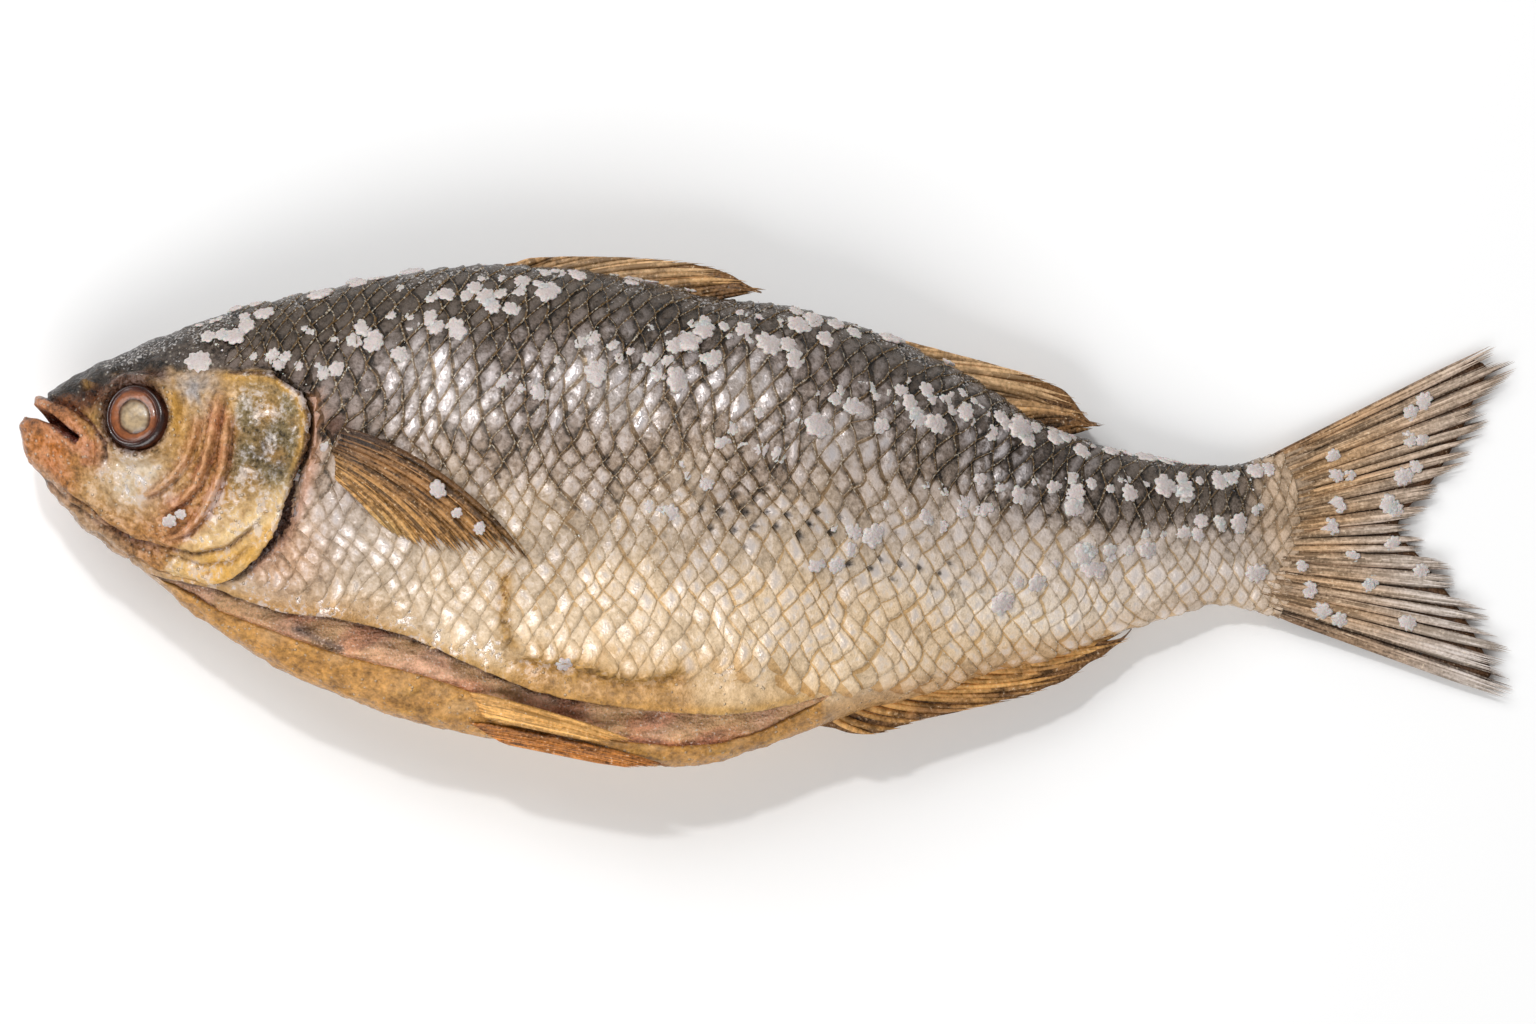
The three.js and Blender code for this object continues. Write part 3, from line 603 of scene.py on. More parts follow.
def trunk_paint(x, y, spots, angle):
    """Colours of the flank: dark back, grey with silver below it, then tan, cream and a golden belly; at the
    rear a dark upper half and a light lower one that meet at the lateral line. Also how silvery and how
    frosted each spot is."""
    flow = 3.5 * ripple(spots, 22, 31) + 1.5 * ripple(spots, 7, 32)
    above = y - curve(LATERAL_LINE, x)
    upper = np.sin(angle) > 0
    base = dab(ramp(above + flow, FRONT_TONES), ramp(above + 0.25 * flow, REAR_TONES), smooth(-5, 62, x))
    crest_depth = curve([(-100, 15), (-40, 12), (20, 9), (60, 6), (110, 4)], x)
    crest = smooth(crest_depth, 2, curve(BACK, x) - y + flow * 0.6)
    silver_and_painted_shine = sum(patch(x, y, place, 5, wide=1 / 1.4) for place in SILVER_AND_SHINE_SPOTS)
    silver = bell(above - 9.5, 11) * smooth(-92, -66, x) * smooth(80, 36, x)
    silver *= 1 - 0.55 * patch(x, y, (26, 23), 11)
    silver = silver * np.clip(0.8 + 0.5 * ripple(spots * (1, 0.6, 0.6), 13, 37), 0.2, 1.2)
    silver = np.clip(silver + 0.7 * silver_and_painted_shine, 0, 1) + smooth(0, -12, above) * smooth(-38, -26, y) * 0.75
    keel_near = smooth(7, 1.5, y - curve(KEEL, x)) * smooth(120, 20, x)
    flap = upper * (y < curve(LOWER_EDGE, x) + 0.4) * smooth(0, 0.3, openness(x))
    lip, _, _ = line_distance(x, y, UPPER_EDGE)
    gap, share, side = line_distance(x, y, BELLY_FOLD)
    shade_under_fold = (side <= 0) * smooth(0, 0.12, share) * smooth(0, 0.15, 1.001 - share) * smooth(0, 1.2, gap)
    root = smooth(93, 105, x + 0.5 * ripple(spots, 4, 36))
    base = layered(base, [
        (BACK_DARK, crest * 0.75),
        (BACK_DARK, smooth(64, 80, x) * smooth(0, 4, above) * 0.4),
        # painted highlight over the most silvery spots
        (SILVER, np.clip(silver_and_painted_shine, 0, 1) * 0.45),
        (FLAP_TAN, keel_near * 0.7),
        (FLAP_TAN, flap * (0.92 + 0.2 * ripple(spots, 6, 33))),
        (GOLD * 0.8, flap * smooth(0.2, 1.2, ripple(spots * (0.4, 1, 1), 3.5, 35)) * 0.5),
        (GOLD, upper * bell(lip, 1.5) * openness(x) * 0.8),
        (GOLD * 0.75, upper * (ridge(x, y, BELLY_FOLD, 2.2) + ridge(x, y, FLANK_FOLD, 1.5))),
        # painted shade under the belly fold's overhang, in the flap's tan
        (FLAP_TAN, upper * shade_under_fold * (y > curve(UPPER_EDGE, x) - 1) * 0.75),
        (GOLD, upper * patch(x, y, (-35, -31), 6, wide=0.22) * 0.35 * (1 + 0.7 * ripple(spots, 5, 34))),
        (BREAST_PINK, patch(x, y, (-97, -8), 8, 0.8, 0.8) * smooth(24, 12, y) * 0.9),
        (SILVER, patch(x, y, (-84, -2), 7) * 0.4),
        (FLAP_TAN, upper * smooth(-14, -20, y) * smooth(-66, -84, x) * 0.6),
        (RIM_PINK, ridge(x, y, SHOULDER_RIM, 1.3, 0.05)),
        # the breast fin's dark root, partly painted shade that the fin casts over the knob
        (SNOUT_BROWN, patch(x, y, (-86.4, 17.4), 3.2) * 0.95),
        (ROOT_TAN, root * 0.9),
    ])
    return base, np.clip(silver, 0, 1) * (1 - root) * (1 - flap), frostiness(x, y, spots) * upper


# ---- Materials ----


GLOW_REACH = 1 * MM  # how far light spreads under the surface of flesh and salt


class Finish:
    """A material in the making. Each method adds a shader node and returns what it puts out. Values are
    numbers, colours or what another node puts out, and sizes are in millimetres."""

    def __init__(self, name, **numbers):
        """numbers are fixed all over the surface, such as Coat_Weight=0.4."""
        self.material = bpy.data.materials.new(name)
        self.material.use_nodes = True
        self.tree = self.material.node_tree
        self.shader = self.tree.nodes["Principled BSDF"].inputs
        for label, number in numbers.items():
            self.shader[label.replace("_", " ")].default_value = number

    def feed(self, socket, value):
        if isinstance(value, bpy.types.NodeSocket):
            self.tree.links.new(value, socket)
        elif value is not None:
            socket.default_value = value

    def node(self, kind, inputs, **choices):
        """A node of the kind, with its choices made and values fed to its inputs by name or number."""
        node = self.tree.nodes.new("ShaderNode" + kind)
        for label, choice in choices.items():
            setattr(node, label, choice)
        for label, value in inputs.items():
            self.feed(node.inputs[label], value)
        return node

    def noise(self, size, detail=3.0, stretch=None):
        """Cloudy noise with features of about the size, longer along the axes whose stretch is below 1."""
        spot = self.node("TexCoord", {}).outputs["Object"]
        if stretch:
            spot = self.node("Mapping", {"Vector": spot, "Scale": stretch}).outputs["Vector"]
        inputs = {"Vector": spot, "Scale": 1 / (size * MM), "Detail": detail, "Roughness": 0.55}
        return self.node("TexNoise", inputs).outputs["Fac"]

    def droplets(self, pitch):
        """Distance to the nearest of many scattered places, about a pitch apart."""
        spot = self.node("TexCoord", {}).outputs["Object"]
        return self.node("TexVoronoi", {"Vector": spot, "Scale": 1 / (pitch * MM)}).outputs["Distance"]

    def stored(self, label, output="Fac"):
        """What the mesh stores at its points under the label."""
        return self.node("Attribute", {}, attribute_name=label).outputs[output]

    def paint(self):
        return self.stored("paint", "Color")

    def lightness(self, colour):
        return self.node("RGBToBW", {"Color": colour}).outputs["Val"]

    def times(self, first, *others):
        for other in others:
            first = self.node("Math", {0: first, 1: other}, operation="MULTIPLY").outputs[0]
        return first

    def plus(self, first, *others):
        for other in others:
            first = self.node("Math", {0: first, 1: other}, operation="ADD").outputs[0]
        return first

    def rise(self, value, low, high, to_low=0.0, to_high=1.0, kind="SMOOTHSTEP"):
        """An S-shaped rise or fall from to_low, where the value is low, to to_high, where it is high."""
        inputs = {0: value, 1: low, 2: high, 3: to_low, 4: to_high}
        return self.node("MapRange", inputs, interpolation_type=kind).outputs[0]

    def line(self, value, low, high, to_low, to_high):
        return self.rise(value, low, high, to_low, to_high, "LINEAR")

    def spread(self, noise, to_low, to_high):
        """A noise, most of which lies between 0.3 and 0.7, drawn out to a range."""
        return self.line(noise, 0.3, 0.7, to_low, to_high)

    def blend(self, share, a, b, how="MIX"):
        a, b = (c if isinstance(c, bpy.types.NodeSocket) else (*c, 1.0) for c in (a, b))
        return self.node("Mix", {0: share, 6: a, 7: b}, data_type="RGBA", blend_type=how).outputs[2]

    def uneven(self, paint, share):
        """The painted colour, deeper and warmer where share is low and lighter where it is high; dark paint
        varies more than pale paint."""
        value = self.lightness(paint)
        low = self.line(value, 0.03, 0.5, 0.12, 0.6)
        high = self.line(value, 0.03, 0.5, 2.1, 1.36)
        warm = self.blend(share, self.blend(1.0, paint, (1, 0.93, 0.83), "MULTIPLY"), paint)
        return self.blend(1.0, warm, self.line(share, 0, 1, low, high), "MULTIPLY")

    def done(self, heights, **values):
        """Feeds the shader, and lays bumps from pairs of (height, millimetres) one over the other."""
        normal = None
        for height, depth in heights:
            inputs = {"Strength": 1.0, "Distance": depth * MM, "Height": height, "Normal": normal}
            normal = self.node("Bump", inputs).outputs["Normal"]
        for label, value in {**values, "Normal": normal}.items():
            self.feed(self.shader[label.replace("_", " ")], value)
        return self.material


def skin_material(name, scaly):
    """Moist skin. A grain and broad clouds deepen and lighten the painted colour; as the grain is also the
    bumps' height, its hollows carry painted shade and its crests painted highlight. Silvery patches are
    partly metallic and carry a painted highlight of pale lilac, and fine salt lies on it like frost. Bare
    skin has small wet beads, pale and with a painted highlight. A scale has painted dome shading, lighter in
    its middle and darker towards its sides, a tint of its own, a thin golden rim with painted glints, and a
    painted shadow, a thin dark line where it comes out from under the scale before it."""
    skin_look = Finish(name, Coat_Weight=0.03, Coat_Roughness=0.06, Specular_IOR_Level=0.3)
    line, rise, spread = skin_look.line, skin_look.rise, skin_look.spread
    times, plus, blend, stored = skin_look.times, skin_look.plus, skin_look.blend, skin_look.stored
    paint, silver = skin_look.paint(), stored("silver")
    grain, fine = skin_look.noise(1.1, 4), skin_look.noise(0.45, 3)
    cloud = skin_look.noise(3.8, 3, (1.25, 0.8, 1))
    value = skin_look.lightness(paint)
    # the grain and the fine noise are also the bumps' heights below, so the bumps' hollows get painted shade
    # and their crests painted highlight, over a mottle of the paint
    speckle = plus(spread(grain, -0.45, 0.45), spread(fine, -0.2, 0.2))
    share = plus(0.5, times(speckle, line(value, 0.05, 0.4, 1.0, 0.5)), spread(cloud, -0.25, 0.25))
    if scaly:
        tint, edge, middle, clear = (stored(label) for label in ("tint", "edge", "middle", "rim"))
        # painted dome shading of each scale: lighter in its middle, darker towards its sides
        painted_dome_light = times(rise(middle, 0.1, 0.85, -1, 1.3), rise(value, 0.1, 0.45, 0.34, 0.12))
        share = plus(share, line(tint, 0, 1, -0.2, 0.2), painted_dome_light)
        lift = plus(spread(cloud, 0.0, 1.0), line(tint, 0, 1, -0.15, 0.4), spread(grain, -0.3, 0.3))
        # where a scale carries its painted highlight: in its middle, on scales drawn at random
        painted_flash = times(rise(lift, 0.3, 1.1), rise(middle, 0.2, 0.95))
    else:
        painted_flash = rise(plus(grain, cloud), 0.98, 1.2)
    # the painted highlight keeps to silvery skin; the same mask makes that skin partly metallic
    painted_flash = times(painted_flash, silver)
    colour = blend(times(painted_flash, 0.8), skin_look.uneven(paint, share), PAINTED_SILVER_HIGHLIGHT)
    calm = times(line(painted_flash, 0, 1, 1, 0.25), line(value, 0.03, 0.25, 2.4, 0.8))
    heights = [(times(grain, calm), 0.45), (times(fine, calm), 0.2)]
    if scaly:
        # painted shadow: a thin dark line where a scale comes out from under the one before it
        painted_overlap_shadow = times(rise(stored("fresh"), 0.26, 0.04), clear)
        deep = blend(rise(value, 0.08, 0.5), (0.24, 0.18, 0.11), (0.84, 0.7, 0.48))
        colour = blend(painted_overlap_shadow, colour, blend(1.0, colour, deep, "MULTIPLY"))
        # the golden rim, with painted glints where the fine noise is high
        rim = times(rise(edge, 0.48, 0.26), clear, rise(grain, 0.32, 0.44))
        gilt_and_glint = blend(rise(fine, 0.54, 0.6), blend(0.5, RIM_GILT, paint), RIM_GLINT)
        colour = blend(times(rim, 0.75), colour, gilt_and_glint)
    else:
        # small wet beads, bumped and lightened: pale beads with a painted highlight
        bead = times(rise(skin_look.droplets(1.3), 0.32, 0.1), rise(cloud, 0.46, 0.56))
        colour = blend(times(bead, 0.4), colour, BEAD_PALE_AND_SHEEN)
        heights.append((bead, 0.3))
    powder = plus(skin_look.noise(0.6, 4), line(stored("frost"), 0, 1, -0.25, 0.0))
    colour = blend(rise(powder, 0.53, 0.6, 0, 0.85), colour, SALT_GREY)
    return skin_look.done(
        heights, Base_Color=colour, Metallic=times(painted_flash, 0.5), Roughness=spread(grain, 0.1, 0.26)
    )


def flesh_material():
    """Cured flesh: pinkish fibres that run along the body, with pits darkened as painted shade and clinging
    salt.
    """
    flesh = Finish(
        "cured_flesh", Subsurface_Weight=0.1, Subsurface_Scale=GLOW_REACH, Coat_Weight=0.03,
        Coat_Roughness=0.1,
    )
    fibres, fine = flesh.noise(1.5, 5, (0.4, 1, 1)), flesh.noise(0.5, 3)
    # the fibres and the fine noise are also the bumps' heights, so the low places get painted shade and the
    # high ones painted highlight
    share = flesh.plus(flesh.line(fibres, 0.34, 0.66, 0.1, 0.9), flesh.spread(fine, -0.35, 0.35))
    colour = flesh.uneven(flesh.paint(), share)
    colour = flesh.blend(flesh.rise(fine, 0.6, 0.68, 0, 0.8), colour, FLESH_SALT)
    roughness = flesh.rise(fine, 0.3, 0.7, 0.25, 0.5)
    return flesh.done([(fibres, 0.5), (fine, 0.3)], Base_Color=colour, Roughness=roughness)


def fin_material():
    """Dried fin rays: the painted colour streaked along each ray, deep between them and pale on their
    backs."""
    rays = Finish("fin_rays", Coat_Weight=0.03, Coat_Roughness=0.15, Specular_IOR_Level=0.3)
    tint = rays.stored("tint")
    spot = rays.node("CombineXYZ", {0: rays.times(rays.stored("along"), 9.0), 1: rays.times(tint, 400.0)})
    streak = rays.node("TexNoise", {"Vector": spot.outputs[0], "Scale": 1.0}, noise_dimensions="2D")
    fine = rays.noise(0.6, 4)
    share = rays.plus(
        rays.spread(streak.outputs["Fac"], 0.1, 0.8), rays.line(tint, 0, 1, -0.4, 0.4),
        rays.spread(fine, -0.3, 0.3),
    )
    colour = rays.uneven(rays.paint(), share)
    colour = rays.blend(rays.rise(fine, 0.62, 0.7, 0, 0.6), colour, FIN_SALT)
    return rays.done([(fine, 0.2)], Base_Color=colour, Roughness=rays.rise(fine, 0.3, 0.7, 0.2, 0.45))


def eye_material():
    """Rings of colour by the stored distance from the eye's centre: cloudy lens, coppery iris, dark glossy
    rim."""
    eye = Finish("cloudy_eye", Coat_Weight=0.3, Coat_Roughness=0.04, Roughness=0.25)
    radius = eye.plus(eye.stored("radius"), eye.spread(eye.noise(1.8, 4), -0.03, 0.03))
    rings = eye.node("ValToRGB", {"Fac": radius})
    while len(rings.color_ramp.elements) < len(EYE_RINGS):
        rings.color_ramp.elements.new(0.5)
    for stop, (place, colour) in zip(rings.color_ramp.elements, EYE_RINGS):
        stop.position = place
        stop.color = (*colour, 1)
    fine = eye.noise(1.1, 5)
    colour = eye.blend(1.0, rings.outputs["Color"], eye.spread(fine, 0.62, 1.35), "MULTIPLY")
    return eye.done([(fine, 0.1)], Base_Color=colour)


def salt_material(name, brightness):
    """Translucent frosted salt, greyer in the middle of a flake and brighter at its broken edges."""
    salt = Finish(
        name, Subsurface_Weight=0.3, Subsurface_Scale=GLOW_REACH, Coat_Weight=0.1, Coat_Roughness=0.15,
        Specular_IOR_Level=0.7,
    )
    fine = salt.noise(0.6, 4)
    middle, rim = (tone(*(np.array(shade) * brightness)) for shade in ((198, 186, 182), (228, 218, 212)))
    share = salt.plus(salt.stored("edge"), salt.spread(fine, -0.35, 0.35))
    colour = salt.blend(salt.rise(share, 0.3, 1.0), middle, rim)
    return salt.done([(fine, 0.3)], Base_Color=colour, Roughness=salt.rise(fine, 0.35, 0.65, 0.2, 0.5))


# ---- Head, trunk and belly ----


# the gill cover's rolled rim, ring by ring: how far inwards, how far forwards, how ragged, and its shade
COVER_RIM = [(0.35, -0.3, 1, 1.0), (0.95, -0.1, 1, 0.6), (1.5, 0.5, 0, 0.3), (4.2, 1.6, 0, 0.15)]
# the cut's rolled edges, step by step: how far outwards and how deep
CUT_ROLL = [(0.45, 0.2), (0.55, 0.8), (0.1, 1.4)]
TRUNK_START_X = -131


def make_head(rows, columns):
    """A grid from the snout's pole to the gill cover's edge, closed round, then a rolled rim that turns in
    under the edge. The rows crowd towards the snout."""
    angle = np.linspace(-np.pi, np.pi, columns, endpoint=False)[None, :]
    x = mix(SNOUT_X, cover_edge(angle), np.linspace(0, 1, rows)[:, None] ** 1.4)
    angle = np.broadcast_to(angle, x.shape)
    bare = skin(x, angle)
    spots = raised(x, angle, head_relief(bare[..., 0], bare[..., 1], bare))
    paint, silver, frost = head_paint(bare[..., 0], bare[..., 1], bare)
    frost = frost * (np.sin(angle) > -0.1)
    deep, ahead, torn, shades = np.array(COVER_RIM).T[:, :, None, None]
    ragged = torn * 0.25 * ripple(spots[-1], 1.5, 41)[:, None]
    rim = spots[-1] - skin_normal(x[-1], angle[-1]) * deep + (ragged - ahead) * (1, 0, 0)
    spots = np.concatenate([spots, rim])
    spots[..., 2] = np.maximum(spots[..., 2], LOWEST_SKIN)
    paint = np.concatenate([paint, paint[-1:] * shades])
    silver, frost = (np.concatenate([a, np.repeat(a[-1:], len(rim), axis=0)]) for a in (silver, frost))
    faces = grid_faces(len(spots), columns, round_columns=True)
    material = skin_material("head_skin", False)
    return make_piece("head", spots, faces, material, paint, silver=silver, frost=frost)


def make_trunk(rows, columns):
    """A strip round the body from the cut's upper edge over the back and the underside to its lower edge,
    with both edges rolled in. Where the belly is shut the two edges meet. Also both rims, for the flesh."""
    x = np.linspace(TRUNK_START_X, TAIL_ROOT_X, rows)[:, None]
    upper, lower = belly_angles(x)
    angle = mix(upper, lower - 2 * np.pi, np.linspace(0, 1, columns)[None, :])
    x = np.broadcast_to(x, angle.shape)
    drop = FLAP_DROP * openness(x) * (angle < -np.pi)
    spots, sunk = trunk_surface(x, angle, 0.0, drop)
    bare = skin(x, angle, drop)
    paint, silver, frost = trunk_paint(bare[..., 0], bare[..., 1], bare, angle)
    # painted shade in the recess under the gill cover
    paint = dab(paint, PAINTED_SLIT_SHADE, sunk * 0.95)
    gape = openness(x[:, :1])
    normal = skin_normal(x, angle, drop)

    def rolled(column, beside):
        way = spots[:, column] - spots[:, beside]
        way /= np.maximum(np.linalg.norm(way, axis=-1, keepdims=True), 1e-9)
        return [spots[:, column] + gape * (way * out - normal[:, column] * deep) for out, deep in CUT_ROLL]

    def widened(values, shade=1.0):
        steps = len(CUT_ROLL)
        ends = (np.repeat(values[:, :1], steps, 1) * shade, values, np.repeat(values[:, -1:], steps, 1))
        return np.concatenate(ends, axis=1)

    first, last = rolled(0, 1), rolled(-1, -2)
    spots = np.concatenate([np.stack(first[::-1], axis=1), spots, np.stack(last, axis=1)], axis=1)
    trunk = make_piece(
        "trunk", spots, grid_faces(*spots.shape[:2]), skin_material("trunk_skin", False), widened(paint, 0.8),
        flip=True, silver=widened(silver), frost=widened(frost),
    )
    return trunk, spots[:, 0], spots[:, -1]


def make_flesh(upper_rim, lower_rim):
    """The cured flesh in the cut. It leaves the lower flap's rim, swells a little, runs in under the upper
    flap and turns back to that flap's rim; it is lumpy and streaked along the body, with painted shade under
    the upper flap's edge."""
    lower, upper = lower_rim[:, None], upper_rim[:, None]
    share, turn = np.linspace(0, 1, 30)[None, :], 0.72
    gape = openness(upper[..., 0])
    back = smooth(turn, 1, share)
    y = mix(lower[..., 1], upper[..., 1] + 9.0 * gape, np.clip(share / turn, 0, 1))
    y = mix(y, upper[..., 1], back)
    swell = 0.8 * np.sin(np.pi * np.clip(share / 0.4, 0, 1)) - 1.6 * smooth(0.3, turn, share)
    z = mix(lower[..., 2] + gape * swell, upper[..., 2], back)
    x = np.broadcast_to(upper[..., 0], y.shape)
    spots = np.stack([x, y, z], axis=-1)
    lumps = 0.4 * ripple(spots * (0.5, 1, 1), 4.5, 51) + 0.28 * ripple(spots, 1.9, 52)
    spots[..., 2] += gape * lumps * np.sin(np.pi * share) ** 0.5
    lip = y - curve(UPPER_EDGE, x)
    paint = layered(np.broadcast_to(FLESH_PINK, spots.shape), [
        (FLESH_CREAM, 0.5 + 0.5 * ripple(spots, 9, 53)),
        (FLESH_RED, smooth(0.3, 1.2, ripple(spots * (0.5, 1, 1), 6, 54)) * 0.6),
        (FLESH_BROWN, ridge(x, y, BROWN_STREAK, 0.8) * 0.9),
        (FLESH_GREY, ridge(x, y, GREY_STREAK, 1.2) * 0.9),
        # painted shade: a thin dark line under the upper flap's edge and dark where the flap lies over the
        # flesh
        (PAINTED_SLIT_SHADE, smooth(-1.9, -0.6, lip) * smooth(-30, -48, x) * 0.7 + smooth(-0.6, 0.6, lip)),
    ])
    return make_piece("belly_flesh", spots, grid_faces(*y.shape), flesh_material(), paint)


# ---- Scales ----


def flank_angles():
    """A table that turns (x, arc) into the angle round the section, where arc is the distance along the skin
    above the lateral line. Returned as a function that reads it by linear steps."""
    xs = np.linspace(-112, 112, 200)
    angles = np.linspace(0, np.pi, 260)
    ring = skin(xs[:, None], angles[None, :])
    steps = np.linalg.norm(np.diff(ring[..., 1:], axis=1), axis=-1)
    passed = np.concatenate([np.zeros((len(xs), 1)), np.cumsum(steps, axis=1)], axis=1)
    middle = angle_at(xs, curve(LATERAL_LINE, xs))
    arcs = np.linspace(-90, 60, 400)
    rows = [np.interp(np.interp(m, angles, p) - arcs, p, angles) for m, p in zip(middle, passed)]
    table = np.stack(rows)

    def read(x, arc):
        i = np.clip((x - xs[0]) / (xs[1] - xs[0]), 0, len(xs) - 1.001)
        j = np.clip((arc - arcs[0]) / (arcs[1] - arcs[0]), 0, len(arcs) - 1.001)
        low_i, low_j = i.astype(int), j.astype(int)
        near = mix(table[low_i, low_j], table[low_i, low_j + 1], j - low_j)
        far = mix(table[low_i + 1, low_j], table[low_i + 1, low_j + 1], j - low_j)
        return mix(near, far, i - low_i)

    return read


def column_places(pitch):
    """x of every column of scales: they stand a pitch apart, closer at the nape and the tail root."""
    x = np.linspace(-112, 116, 2000)
    spacing = pitch * curve([(-112, 0.62), (-84, 1), (62, 1), (90, 0.8), (112, 0.5)], x)
    count = np.r_[0, np.cumsum((x[1:] - x[:-1]) / spacing[1:])]
    return lambda column: np.interp(column, count, x), int(count[-1])


SCALE_ACROSS = np.array([-1.06, -0.72, -0.36, 0, 0.36, 0.72, 1.06])  # in rows
SCALE_ALONG = np.array([0, 0.3, 0.52, 0.72, 0.88, 0.96, 1.0])  # shares of its length
SCALE_LENGTH = 1.55  # in columns
ROWS = np.arange(-22, 17)  # from the keel to the back; 0 is on the lateral line
# each row's distance above the lateral line, in rows of usual height: they are tallest above the line
ROW_ARCS = [(-24, -75), (-12, -37), (-2, -6.6), (0, 0), (5, 21.5), (11, 43), (18, 69)]
ROW_PLACES = [(row, arc / 3.9) for row, arc in ROW_ARCS]
ROW_SHRINK = [(-116, 0.72), (-84, 1), (56, 1), (84, 0.86), (112, 0.62)]  # towards the head and the tail
BARE_BELOW = [(-60, -24), (-50, -27), (-35, -29.5), (-24, -31.5), (-12, -31), (5, -34), (20, -60)]


def has_scale(x, y, angle, uneven):
    """Whether a scale grows at each place: on the flank behind the gill cover and on the nape, as far as
    the tail root, and not on the bare skin of the belly."""
    on_nape = (y > 28.5) & (x > -117 + 3 * uneven)
    on_flank = (angle > 0.1) & (angle < 2.95) & (x < 107 - 0.012 * (y + 4) ** 2)
    clear_of_cut = y > curve(UPPER_EDGE, x) + 4.5 - 3.5 * smooth(-60, -5, x)
    return on_flank & ((x > cover_edge(angle) + 3.0) | on_nape) & clear_of_cut & (y > curve(BARE_BELOW, x))


def make_scales(name, side, pitch, row_height, seed):
    """Overlapping scales on one flank, in staggered rows. Each is a small grid whose rear edge is a rounded
    arrowhead, in lattice units of one column and one row; the lattice is then wrapped round the flank, with
    the rows slanting back. A scale tilts up to its free edge, swells in the middle and has a thin raised
    rim."""
    place, columns = column_places(pitch)
    angle_of = flank_angles()
    draw = np.random.default_rng(seed)
    column, row = (a.ravel()[:, None] for a in np.meshgrid(np.arange(1, columns), ROWS))
    w, v = (a.ravel()[None, :] for a in np.meshgrid(SCALE_ACROSS, SCALE_ALONG))
    wobble = draw.uniform(-1, 1, (6, len(column), 1))
    bend = 1.4 + 0.25 * wobble[0]
    point = 0.5 * np.abs(w) ** bend
    size = 1 + 0.06 * wobble[1]
    c = column + 0.5 * (row % 2) + 0.08 * wobble[2] - point * size - SCALE_LENGTH * (1 - v)
    q = row + w * size * (1 - 0.08 * (1 - v)) + 0.08 * wobble[3] + 0.04 * wobble[4] * (1 - v)
    x = place(c)
    arc = curve(ROW_PLACES, q) * row_height * curve(ROW_SHRINK, x)
    drift = np.stack([x, arc], axis=-1)
    x = x + 0.8 * ripple(drift, 20, 81) + 0.2 * ripple(drift, 6, 83)
    arc = arc + 0.7 * ripple(drift, 17, 82)
    x = x + 0.3 * np.maximum(arc - 2, 0) * curve([(-112, 0.5), (-60, 1), (60, 1), (100, 0.3)], x)
    angle = angle_of(x, arc)
    centre = w.size // 2
    centre_x, centre_angle = x[:, centre], angle[:, centre]
    centre_y = skin(centre_x, centre_angle)[..., 1]
    grown = has_scale(centre_x, centre_y, centre_angle, wobble[5, :, 0])
    w, v, point = (np.broadcast_to(a, x.shape)[grown] for a in (w, v, point))
    x, angle, wobble, bend = x[grown], angle[grown] * side, wobble[:, grown], bend[grown]
    centre_x, centre_y = centre_x[grown][:, None], centre_y[grown][:, None]
    breast = smooth(-50, -80, centre_x + (centre_y + 6) * 0.9) * smooth(16, 6, centre_y)
    belly = smooth(-14, -27, centre_y) * smooth(10, -20, centre_x)
    clear = 1 - 0.75 * np.clip(breast + belly, 0, 1)
    tilt = (0.9 * v - 0.5) * (0.55 + 0.45 * clear)
    swell = 0.5 * (1 - w**2) * np.sin(np.pi * np.clip(v * 0.95, 0, 1)) * clear
    rim = 0.16 * bell(v - 0.96, 0.04) * clear - 0.2 * (v > 0.99)
    small = curve([(-116, 0.55), (-88, 1), (70, 1), (104, 0.6)], x)
    spots, _ = trunk_surface(x, angle, (tilt + swell + rim - 0.12 * np.abs(w) ** 3) * small, on_nape=True)
    bare = skin(x, angle)
    paint, silver, frost = trunk_paint(bare[..., 0], bare[..., 1], bare, angle)
    above = centre_y - curve(LATERAL_LINE, centre_x)
    spotted = bell(above + 15, 6) * bell(centre_x - 12, 30) * (wobble[4] > -0.3)
    paint = dab(paint, PIGMENT_GREY, 1.7 * spotted * bell(v - 0.5, 0.16) * bell(w, 0.34))
    covered = 0.5 + 0.5 * (1 - np.minimum(np.abs(w), 1)) ** bend
    faces = repeated(grid_faces(SCALE_ALONG.size, SCALE_ACROSS.size), *x.shape)
    material = bpy.data.materials.get("scale_skin") or skin_material("scale_skin", True)
    return make_piece(
        name, spots, faces, material, paint, flip=side < 0, merge=False, silver=silver, frost=frost,
        tint=np.broadcast_to(draw.uniform(0, 1, (len(x), 1)), x.shape),
        edge=(1 - v) * SCALE_LENGTH * pitch * small,
        # distance behind the covering scale's edge, where the material paints its shadow line
        fresh=(covered - point - SCALE_LENGTH * (1 - v)) * pitch * small,
        rim=clear * small * np.ones_like(x),
        # where the material lays a scale's painted dome shading and its painted highlight
        middle=(1 - w**2) * bell(v - 0.7, 0.22),
    )


# ---- Fins ----


UP = np.array((0.0, 0, 1))
STRAND_SIDES = 5


